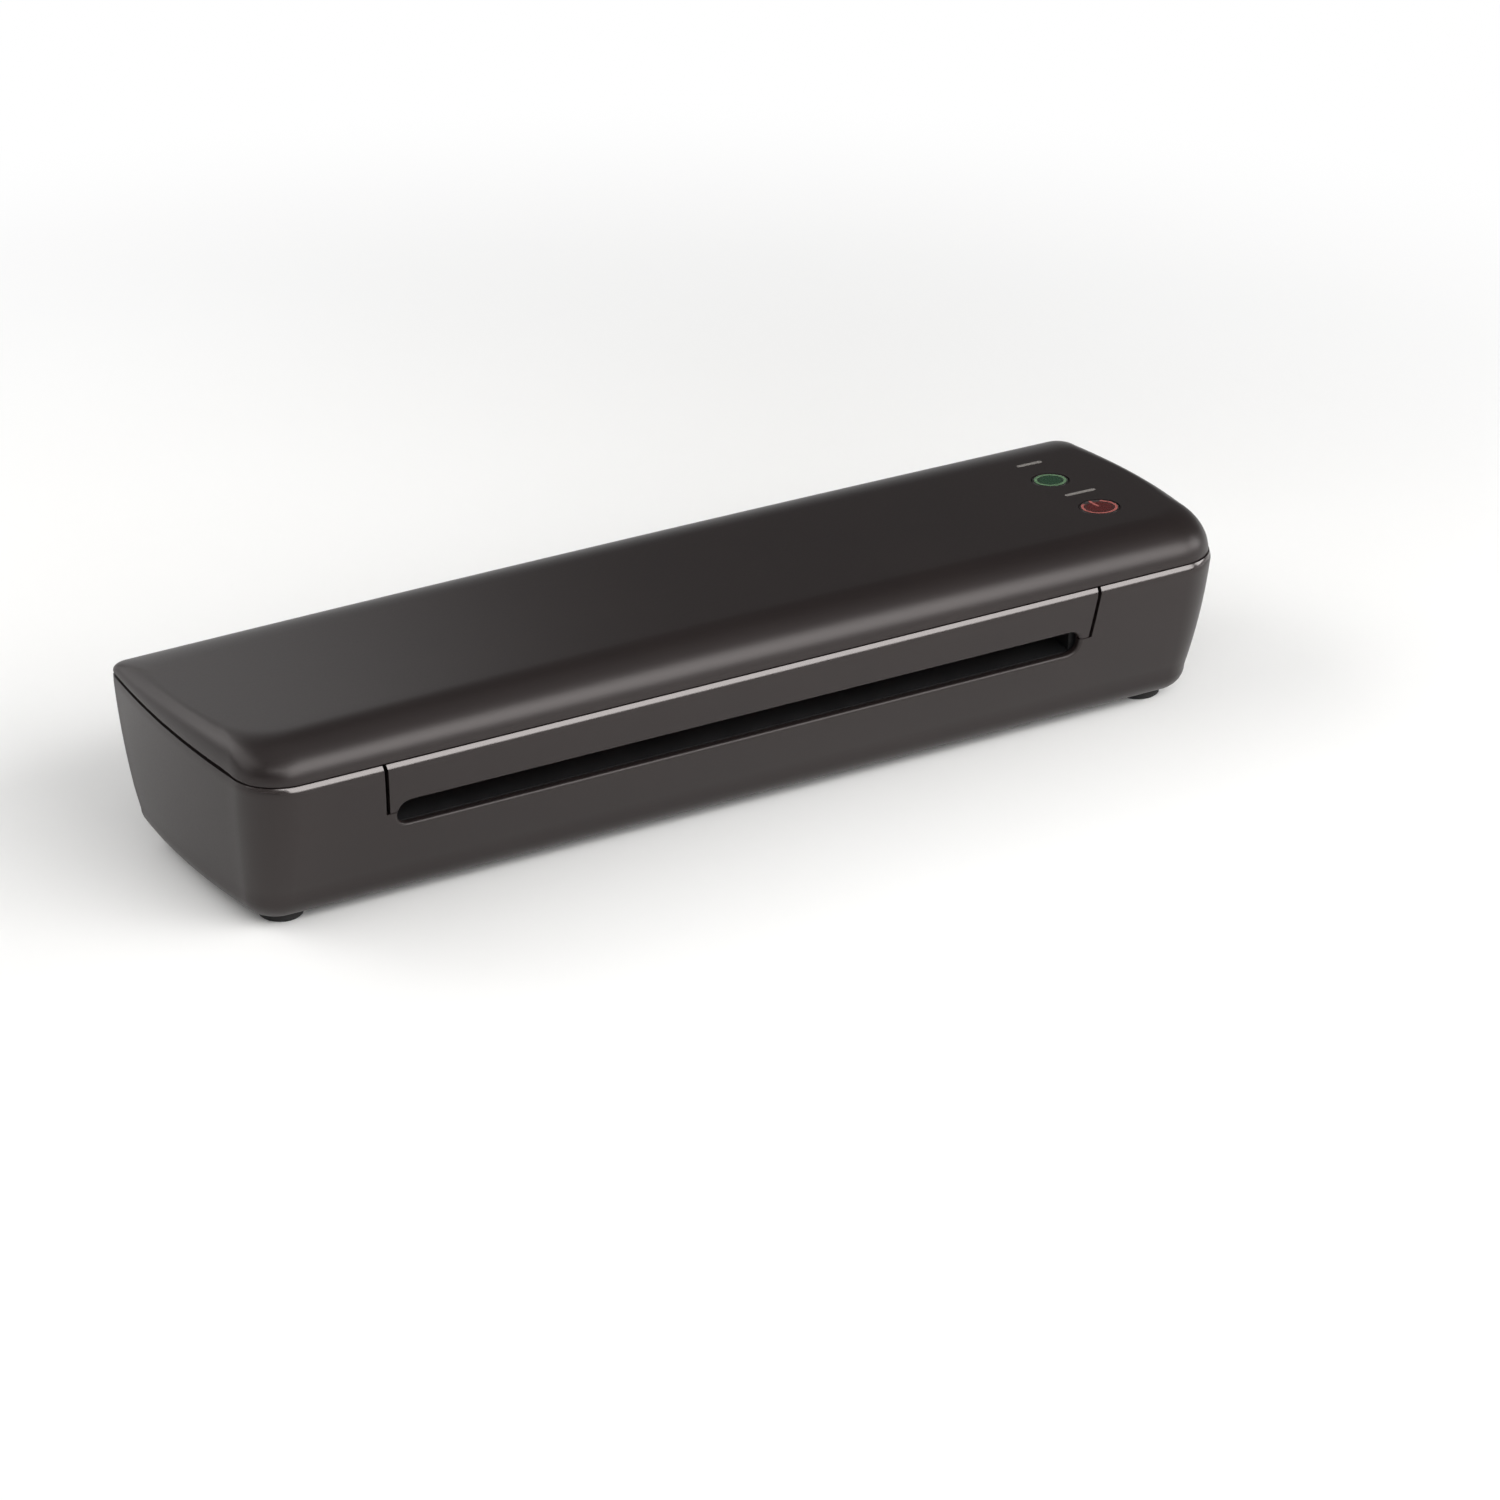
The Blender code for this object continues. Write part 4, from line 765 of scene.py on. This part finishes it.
# ABS moulded in a finely eroded tool: warm charcoal, soft highlights and a faint grain
# the real grain is about 0.2 mm and is drawn at 0.7 mm so that it shows
def satinAbs():
    made, tree, shader, place = startMaterial("satinAbs")
    grain = addNode(
        tree, "ShaderNodeTexNoise", {"Scale": 1 / (satin["grain"] * mm), "Detail": 3}, {"Vector": place})
    cloud = addNode(
        tree, "ShaderNodeTexNoise", {"Scale": 1 / (satin["cloud"] * mm), "Detail": 4}, {"Vector": place})
    tone = addNode(
        tree, "ShaderNodeMixRGB", {"Color1": hexColour(satin["dark"]), "Color2": hexColour(satin["light"])},
        {"Fac": cloud.outputs["Fac"]})
    rough = addNode(
        tree, "ShaderNodeMapRange", {"To Min": satin["roughness"][0], "To Max": satin["roughness"][1]},
        {"Value": grain.outputs["Fac"]})
    bump = addNode(
        tree, "ShaderNodeBump", {"Strength": satin["bump"], "Distance": satin["deep"] * mm},
        {"Height": grain.outputs["Fac"]})
    tree.links.new(tone.outputs["Color"], shader.inputs["Base Color"])
    tree.links.new(rough.outputs["Result"], shader.inputs["Roughness"])
    tree.links.new(bump.outputs["Normal"], shader.inputs["Normal"])
    shader.inputs["IOR"].default_value = satin["ior"]
    shader.inputs["Specular Tint"].default_value = hexColour(satin["tint"])
    return made


# ABS at the tool's polished edge: smooth, so the bevel draws a clear line of light, and given lighter tones
# than the satin ABS as a painted highlight along that line
def polishedAbsWithPaintedHighlight():
    made, tree, shader, place = startMaterial("polishedAbsWithPaintedHighlight")
    cloud = addNode(
        tree, "ShaderNodeTexNoise", {"Scale": 1 / (rimFinishAndPaintedHighlight["cloud"] * mm), "Detail": 3},
        {"Vector": place})
    fine = addNode(
        tree, "ShaderNodeTexNoise", {"Scale": 1 / (rimFinishAndPaintedHighlight["scratch"] * mm), "Detail": 2},
        {"Vector": place})
    tone = addNode(
        tree, "ShaderNodeMixRGB",
        {"Color1": hexColour(rimFinishAndPaintedHighlight["dark"]), "Color2": hexColour(rimFinishAndPaintedHighlight["light"])},
        {"Fac": cloud.outputs["Fac"]})
    least, most = rimFinishAndPaintedHighlight["roughness"]
    rough = addNode(
        tree, "ShaderNodeMapRange", {"To Min": least, "To Max": most}, {"Value": fine.outputs["Fac"]})
    tree.links.new(tone.outputs["Color"], shader.inputs["Base Color"])
    tree.links.new(rough.outputs["Result"], shader.inputs["Roughness"])
    shader.inputs["IOR"].default_value = rimFinishAndPaintedHighlight["ior"]
    shader.inputs["Specular Tint"].default_value = hexColour(rimFinishAndPaintedHighlight["tint"])
    return made


moulded = {"bump": 0.4, "ior": 1.53}
mouldings = {
    # name: two tones, size of the mottling and of the grain in mm, roughness, depth of the grain in mm
    "mouldedBlackNylon": ("#0d0d0e", "#171718", 9, 0.6, (0.42, 0.58), 0.03),
    "mouldedNaturalNylon": ("#d9d4c4", "#e6e2d6", 7, 0.8, (0.38, 0.5), 0.02),
    "groundSiliconeRubber": ("#6f2a20", "#7d3328", 5, 0.5, (0.6, 0.75), 0.03),
    "mouldedBlackRubber": ("#101010", "#1c1b1b", 4, 0.4, (0.75, 0.9), 0.05),
    "padPrintInk": ("#716d69", "#7d7975", 2, 0.4, (0.55, 0.65), 0.01),
}


# moulded nylon and rubber: a soft sheen broken by mottling and a fine skin
def mouldedFinish(name):
    dark, light, mottle, grainSize, roughness, deep = mouldings[name]
    made, tree, shader, place = startMaterial(name)
    cloud = addNode(
        tree, "ShaderNodeTexNoise", {"Scale": 1 / (mottle * mm), "Detail": 5}, {"Vector": place})
    grain = addNode(
        tree, "ShaderNodeTexNoise", {"Scale": 1 / (grainSize * mm), "Detail": 3}, {"Vector": place})
    tone = addNode(
        tree, "ShaderNodeMixRGB", {"Color1": hexColour(dark), "Color2": hexColour(light)},
        {"Fac": cloud.outputs["Fac"]})
    rough = addNode(
        tree, "ShaderNodeMapRange", {"To Min": roughness[0], "To Max": roughness[1]},
        {"Value": cloud.outputs["Fac"]})
    bump = addNode(
        tree, "ShaderNodeBump", {"Strength": moulded["bump"], "Distance": deep * mm},
        {"Height": grain.outputs["Fac"]})
    tree.links.new(tone.outputs["Color"], shader.inputs["Base Color"])
    tree.links.new(rough.outputs["Result"], shader.inputs["Roughness"])
    tree.links.new(bump.outputs["Normal"], shader.inputs["Normal"])
    shader.inputs["IOR"].default_value = moulded["ior"]
    return made


metalBump = 0.3
metals = {
    # name: two tones, size of the marks in mm along each axis, roughness, depth of the marks in mm
    "zincPlatedSteel": ("#a9adb0", "#c2c5c7", (6, 6, 6), (0.26, 0.44), 0.01),
    "groundSteel": ("#b4b6b8", "#c9cacb", (0.5, 30, 30), (0.16, 0.3), 0.006),
    "drawnSpringSteel": ("#8d8f92", "#a6a8aa", (1, 1, 0.6), (0.22, 0.36), 0.006),
    "extrudedAluminium": ("#b9babb", "#cfd0d1", (120, 0.7, 0.7), (0.24, 0.4), 0.01),
}


# bare metals: tone and gloss change along the marks that the making leaves
def metalFinish(name):
    dark, light, marks, roughness, deep = metals[name]
    made, tree, shader, place = startMaterial(name)
    stretched = addNode(
        tree, "ShaderNodeMapping", {"Scale": [1 / (size * mm) for size in marks]}, {"Vector": place})
    streak = addNode(
        tree, "ShaderNodeTexNoise", {"Scale": 1, "Detail": 5}, {"Vector": stretched.outputs["Vector"]})
    tone = addNode(
        tree, "ShaderNodeMixRGB", {"Color1": hexColour(dark), "Color2": hexColour(light)},
        {"Fac": streak.outputs["Fac"]})
    rough = addNode(
        tree, "ShaderNodeMapRange", {"To Min": roughness[0], "To Max": roughness[1]},
        {"Value": streak.outputs["Fac"]})
    bump = addNode(
        tree, "ShaderNodeBump", {"Strength": metalBump, "Distance": deep * mm},
        {"Height": streak.outputs["Fac"]})
    tree.links.new(tone.outputs["Color"], shader.inputs["Base Color"])
    tree.links.new(rough.outputs["Result"], shader.inputs["Roughness"])
    tree.links.new(bump.outputs["Normal"], shader.inputs["Normal"])
    shader.inputs["Metallic"].default_value = 1
    return made


mica = {"dark": "#7d6440", "light": "#b59a6b", "flake": 2.2, "roughness": (0.3, 0.5)}


# laminated mica: overlapping flakes of golden brown, each with its own gloss
def micaSheet():
    made, tree, shader, place = startMaterial("laminatedMica")
    flake = addNode(tree, "ShaderNodeTexVoronoi", {"Scale": 1 / (mica["flake"] * mm)}, {"Vector": place})
    split = addNode(tree, "ShaderNodeSeparateXYZ", {}, {"Vector": flake.outputs["Color"]})
    tone = addNode(
        tree, "ShaderNodeMixRGB", {"Color1": hexColour(mica["dark"]), "Color2": hexColour(mica["light"])},
        {"Fac": split.outputs["X"]})
    rough = addNode(
        tree, "ShaderNodeMapRange", {"To Min": mica["roughness"][0], "To Max": mica["roughness"][1]},
        {"Value": split.outputs["Y"]})
    tree.links.new(tone.outputs["Color"], shader.inputs["Base Color"])
    tree.links.new(rough.outputs["Result"], shader.inputs["Roughness"])
    return made


mask = {
    "board": "#145a2c", "track": "#1f7a3e", "trackWidth": 1.3, "trackBend": 1.5, "trackEdge": (0.45, 0.55),
    "halfWaves": 6.3,       # tracks and gaps in one unit of the wave pattern
    "patch": 6, "roughness": 0.35,
}


# green solder mask: glossy, a little lighter where copper tracks lie under it
def solderMask():
    made, tree, shader, place = startMaterial("greenSolderMask")
    patch = addNode(
        tree, "ShaderNodeTexNoise", {"Scale": 1 / (mask["patch"] * mm), "Detail": 1}, {"Vector": place})
    track = addNode(
        tree, "ShaderNodeTexWave",
        {"Scale": 1 / (mask["trackWidth"] * mm) / mask["halfWaves"], "Distortion": mask["trackBend"]},
        {"Vector": place})
    low, high = mask["trackEdge"]
    lines = addNode(
        tree, "ShaderNodeMapRange", {"From Min": low, "From Max": high}, {"Value": track.outputs["Fac"]})
    some = addNode(
        tree, "ShaderNodeMath", {}, {0: lines.outputs["Result"], 1: patch.outputs["Fac"]},
        operation="MULTIPLY")
    tone = addNode(
        tree, "ShaderNodeMixRGB", {"Color1": hexColour(mask["board"]), "Color2": hexColour(mask["track"])},
        {"Fac": some.outputs["Value"]})
    tree.links.new(tone.outputs["Color"], shader.inputs["Base Color"])
    shader.inputs["Roughness"].default_value = mask["roughness"]
    return made


acrylic = {"fade": 0.8, "speck": 0.6, "roughness": (0.22, 0.32), "ior": 1.49}
smoked = {
    # name: place among the controls, middle tone, outer tone, radius in mm where one turns into the other
    "smokedGreenAcrylic": ("lamp", "#1c3a26", "#232321", 4.2),
    "smokedRedAcrylic": ("button", "#4a1413", "#282220", 4.6),
}


# smoked acrylic over a coloured filter: glossy and nearly black, with the colour showing in its middle
def smokedAcrylic(name):
    where, middle, outer, reach = smoked[name]
    made, tree, shader, place = startMaterial(name)
    x, y = controls[where]
    flat = addNode(
        tree, "ShaderNodeMapping", {"Location": (-x * mm, -y * mm, 0), "Scale": (1, 1, 0)},
        {"Vector": place})
    away = addNode(tree, "ShaderNodeVectorMath", {}, {0: flat.outputs["Vector"]}, operation="LENGTH")
    near, far = (reach - acrylic["fade"]) * mm, (reach + acrylic["fade"]) * mm
    fade = addNode(
        tree, "ShaderNodeMapRange", {"From Min": near, "From Max": far}, {"Value": away.outputs["Value"]})
    speck = addNode(
        tree, "ShaderNodeTexNoise", {"Scale": 1 / (acrylic["speck"] * mm), "Detail": 2}, {"Vector": place})
    tone = addNode(
        tree, "ShaderNodeMixRGB", {"Color1": hexColour(middle), "Color2": hexColour(outer)},
        {"Fac": fade.outputs["Result"]})
    least, most = acrylic["roughness"]
    rough = addNode(
        tree, "ShaderNodeMapRange", {"To Min": least, "To Max": most}, {"Value": speck.outputs["Fac"]})
    tree.links.new(tone.outputs["Color"], shader.inputs["Base Color"])
    tree.links.new(rough.outputs["Result"], shader.inputs["Roughness"])
    shader.inputs["IOR"].default_value = acrylic["ior"]
    return made


inkFilm = {"patch": 1.2, "roughness": (0.3, 0.42)}
inks = {"greenScreenInk": ("#4f6e50", "#62815f"), "redScreenInk": ("#944c47", "#a65d58")}


# screen ink on the acrylic: a thin even line with a little unevenness in its density
def screenInk(name):
    dark, light = inks[name]
    made, tree, shader, place = startMaterial(name)
    density = addNode(
        tree, "ShaderNodeTexNoise", {"Scale": 1 / (inkFilm["patch"] * mm), "Detail": 3}, {"Vector": place})
    tone = addNode(
        tree, "ShaderNodeMixRGB", {"Color1": hexColour(dark), "Color2": hexColour(light)},
        {"Fac": density.outputs["Fac"]})
    least, most = inkFilm["roughness"]
    rough = addNode(
        tree, "ShaderNodeMapRange", {"To Min": least, "To Max": most}, {"Value": density.outputs["Fac"]})
    tree.links.new(tone.outputs["Color"], shader.inputs["Base Color"])
    tree.links.new(rough.outputs["Result"], shader.inputs["Roughness"])
    return made


def dress(piece, finish):
    piece.data.materials.clear()
    piece.data.materials.append(finish)


# the bevel along the front, on the base and on the lip, takes the polished finish with its painted highlight
def finishRimWithPaintedHighlight(piece, finish):
    pickOnly(piece)
    piece.data.materials.append(finish)
    bpy.ops.object.mode_set(mode="EDIT")
    bpy.ops.mesh.select_mode(type="FACE")
    bpy.ops.mesh.select_all(action="DESELECT")
    mesh = bmesh.from_edit_mesh(piece.data)
    low, high = (shell["rim"] - shell["rimRise"]) * mm, shell["rim"] * mm
    margin = rimFinishAndPaintedHighlight["margin"] * mm
    least, most = rimFinishAndPaintedHighlight["upward"]
    for face in mesh.faces:
        middle = face.calc_center_median()
        face.select_set(low < middle.z < high - margin and least < face.normal.z < most)
    bmesh.update_edit_mesh(piece.data)
    piece.active_material_index = 1
    bpy.ops.object.material_slot_assign()
    bpy.ops.mesh.select_mode(type="VERT")
    bpy.ops.object.mode_set(mode="OBJECT")


absFinish, rimLine = satinAbs(), polishedAbsWithPaintedHighlight()
for piece in (baseShell, exitLip, coverShell):
    dress(piece, absFinish)
finishRimWithPaintedHighlight(baseShell, rimLine)
finishRimWithPaintedHighlight(exitLip, rimLine)
dress(lampLens, smokedAcrylic("smokedGreenAcrylic"))
dress(buttonCap, smokedAcrylic("smokedRedAcrylic"))
dress(lampRing, screenInk("greenScreenInk"))
dress(powerSign, screenInk("redScreenInk"))
dress(labelBars, mouldedFinish("padPrintInk"))
nylon, rubber = mouldedFinish("mouldedBlackNylon"), mouldedFinish("mouldedBlackRubber")
for name, fitting in outerFittings.items():
    dress(fitting, rubber if fittings[name]["slot"] == "rubber" else nylon)
springFinish = metalFinish("drawnSpringSteel")
for spring in woundSprings:
    dress(spring, springFinish)

# what the machine keeps inside, and its screws
nodeFinishes = {
    "mouldedBlackNylon": ("exit_guide", "entry_guide", "push_switch", "thermostat"),
    "mouldedNaturalNylon": (
        "ready_led", "lower_bearing_left", "lower_bearing_right",
        "upper_bearing_left", "upper_bearing_right", "lower_roller_gear", "upper_roller_gear",
        "thermal_fuse", "terminal_block"),
    "groundSiliconeRubber": ("lower_roller_sleeve", "upper_roller_sleeve"),
    "zincPlatedSteel": (
        "left_side_plate", "right_side_plate", "motor_bracket", "case_screw_front_left",
        "case_screw_front_right", "case_screw_rear_left", "case_screw_rear_right",
        "plate_screw_front_left", "plate_screw_front_right", "plate_screw_rear_left",
        "plate_screw_rear_right", "bracket_screw_front", "bracket_screw_rear"),
    "groundSteel": ("lower_roller_shaft", "upper_roller_shaft", "release_shaft", "motor_pinion"),
    "extrudedAluminium": ("motor_housing", "lower_heater_plate", "upper_heater_plate"),
    "laminatedMica": ("lower_heating_element", "upper_heating_element"),
    "greenSolderMask": ("control_board",),
}


def dressNodes():
    for name, nodes in nodeFinishes.items():
        if name == "mouldedBlackNylon":
            finish = nylon
        elif name in mouldings:
            finish = mouldedFinish(name)
        elif name in metals:
            finish = metalFinish(name)
        else:
            finish = micaSheet() if name == "laminatedMica" else solderMask()
        for node in nodes:
            dress(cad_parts[node], finish)
    print("finishes given to", sum(len(nodes) for nodes in nodeFinishes.values()), "nodes")


dressNodes()

# pale floor and soft studio light, in metres and watts: a key box at the front right, a wide box above,
# a box at either end, a strip at the front left for the rim's corner, and a panel and a screen behind
# the left end, whose reflections lighten that end of the cover
studio = {
    "floor": ("#f0efed", "#f6f6f5"), "floorSize": 14, "floorRough": 0.9,
    "mottle": 300,           # mm
    "whiteFrom": 0.22, "whiteBy": 0.62,
    "lamps": {
        "key": {"place": (0.36, -0.97, 0.70), "target": (0, 0, 0), "size": (1.35, 0.75), "power": 17.5},
        "wide": {"place": (0.25, -0.35, 2.2), "target": (0, 0, 0), "size": (2.2, 2.0), "power": 6},
        "left": {"place": (-1.1, 0.45, 0.85), "target": (-0.3, 0.05, 0), "size": (1.5, 1.1), "power": 10},
        "right": {
            "place": (1.1, -0.35, 0.45), "target": (0.15, -0.04, 0.05), "size": (0.5, 0.4), "power": 3.4},
        "panel": {
            "place": (-0.11, 0.44, 0.35), "target": (-0.2, 0, 0.20), "roll": 43,
            "size": (0.50, 0.30), "power": 0.36},
        "strip": {
            "place": (-0.55, -0.85, 0.85), "target": (-0.15, -0.05, 0.05), "size": (0.5, 0.18), "power": 1.7},
        "screen": {
            "place": (-0.50, 0.65, 0.42), "target": (-0.18, 0, 0.1), "size": (0.6, 0.62), "power": 1.4},
    },
    "horizon": (0.0, 0.14), "sky": (0.9, 0.08),
}


def makeFloor():
    bpy.ops.object.select_all(action="DESELECT")
    bpy.ops.mesh.primitive_plane_add(size=studio["floorSize"])
    floor = startPiece("studioFloor")
    made, tree, shader, place = startMaterial("paleFloorPaint")
    shade = addNode(
        tree, "ShaderNodeTexNoise", {"Scale": 1 / (studio["mottle"] * mm), "Detail": 2}, {"Vector": place})
    low, high = [hexColour(code) for code in studio["floor"]]
    tone = addNode(tree, "ShaderNodeMixRGB", {"Color1": low, "Color2": high}, {"Fac": shade.outputs["Fac"]})
    tree.links.new(tone.outputs["Color"], shader.inputs["Base Color"])
    shader.inputs["Roughness"].default_value = studio["floorRough"]
    # far from the machine, what is seen of the floor fades to white, and lights nothing
    away = addNode(tree, "ShaderNodeVectorMath", {}, {0: place}, operation="LENGTH")
    far = addNode(
        tree, "ShaderNodeMapRange", {"From Min": studio["whiteFrom"], "From Max": studio["whiteBy"]},
        {"Value": away.outputs["Value"]}, interpolation_type="SMOOTHSTEP")
    path = addNode(tree, "ShaderNodeLightPath")
    seen = path.outputs["Is Camera Ray"]
    for kind in ("Is Glossy Ray", "Is Transmission Ray"):
        either = addNode(tree, "ShaderNodeMath", {}, {0: seen, 1: path.outputs[kind]}, operation="MAXIMUM")
        seen = either.outputs["Value"]
    share = addNode(tree, "ShaderNodeMath", {}, {0: seen, 1: far.outputs["Result"]}, operation="MULTIPLY")
    white = addNode(tree, "ShaderNodeEmission", {"Color": hexColour("#ffffff"), "Strength": 1})
    mixed = addNode(
        tree, "ShaderNodeMixShader", {},
        {0: share.outputs["Value"], 1: shader.outputs["BSDF"], 2: white.outputs["Emission"]})
    tree.links.new(mixed.outputs["Shader"], tree.nodes["Material Output"].inputs["Surface"])
    dress(floor, made)


def addLamps():
    for name, lamp in studio["lamps"].items():
        place = Vector(lamp["place"])
        bpy.ops.object.light_add(type="AREA", location=place)
        light = bpy.context.object
        light.name = name + "Softbox"
        aimed = (place - Vector(lamp["target"])).to_track_quat("Z", "Y")
        light.rotation_euler = (aimed @ Quaternion((0, 0, 1), math.radians(lamp.get("roll", 0)))).to_euler()
        light.data.shape = "RECTANGLE"
        light.data.size, light.data.size_y = lamp["size"]
        light.data.energy = lamp["power"]
        light.visible_camera = False


# the sky is pale at the horizon and dim above it
def makeSky():
    world = bpy.context.scene.world or bpy.data.worlds.new("studioWorld")
    bpy.context.scene.world = world
    world.use_nodes = True
    tree = world.node_tree
    tree.nodes.clear()
    way = addNode(tree, "ShaderNodeTexCoord").outputs["Generated"]
    split = addNode(tree, "ShaderNodeSeparateXYZ", {}, {"Vector": way})
    low, high = studio["horizon"]
    pale, dim = studio["sky"]
    fade = addNode(
        tree, "ShaderNodeMapRange", {"From Min": low, "From Max": high, "To Min": pale, "To Max": dim},
        {"Value": split.outputs["Z"]})
    sky = addNode(
        tree, "ShaderNodeBackground", {"Color": hexColour("#ffffff")}, {"Strength": fade.outputs["Result"]})
    addNode(tree, "ShaderNodeOutputWorld", {}, {"Surface": sky.outputs["Background"]})


makeFloor()
addLamps()
makeSky()
print("studio lit")
bpy.context.scene.view_settings.view_transform = "Standard"
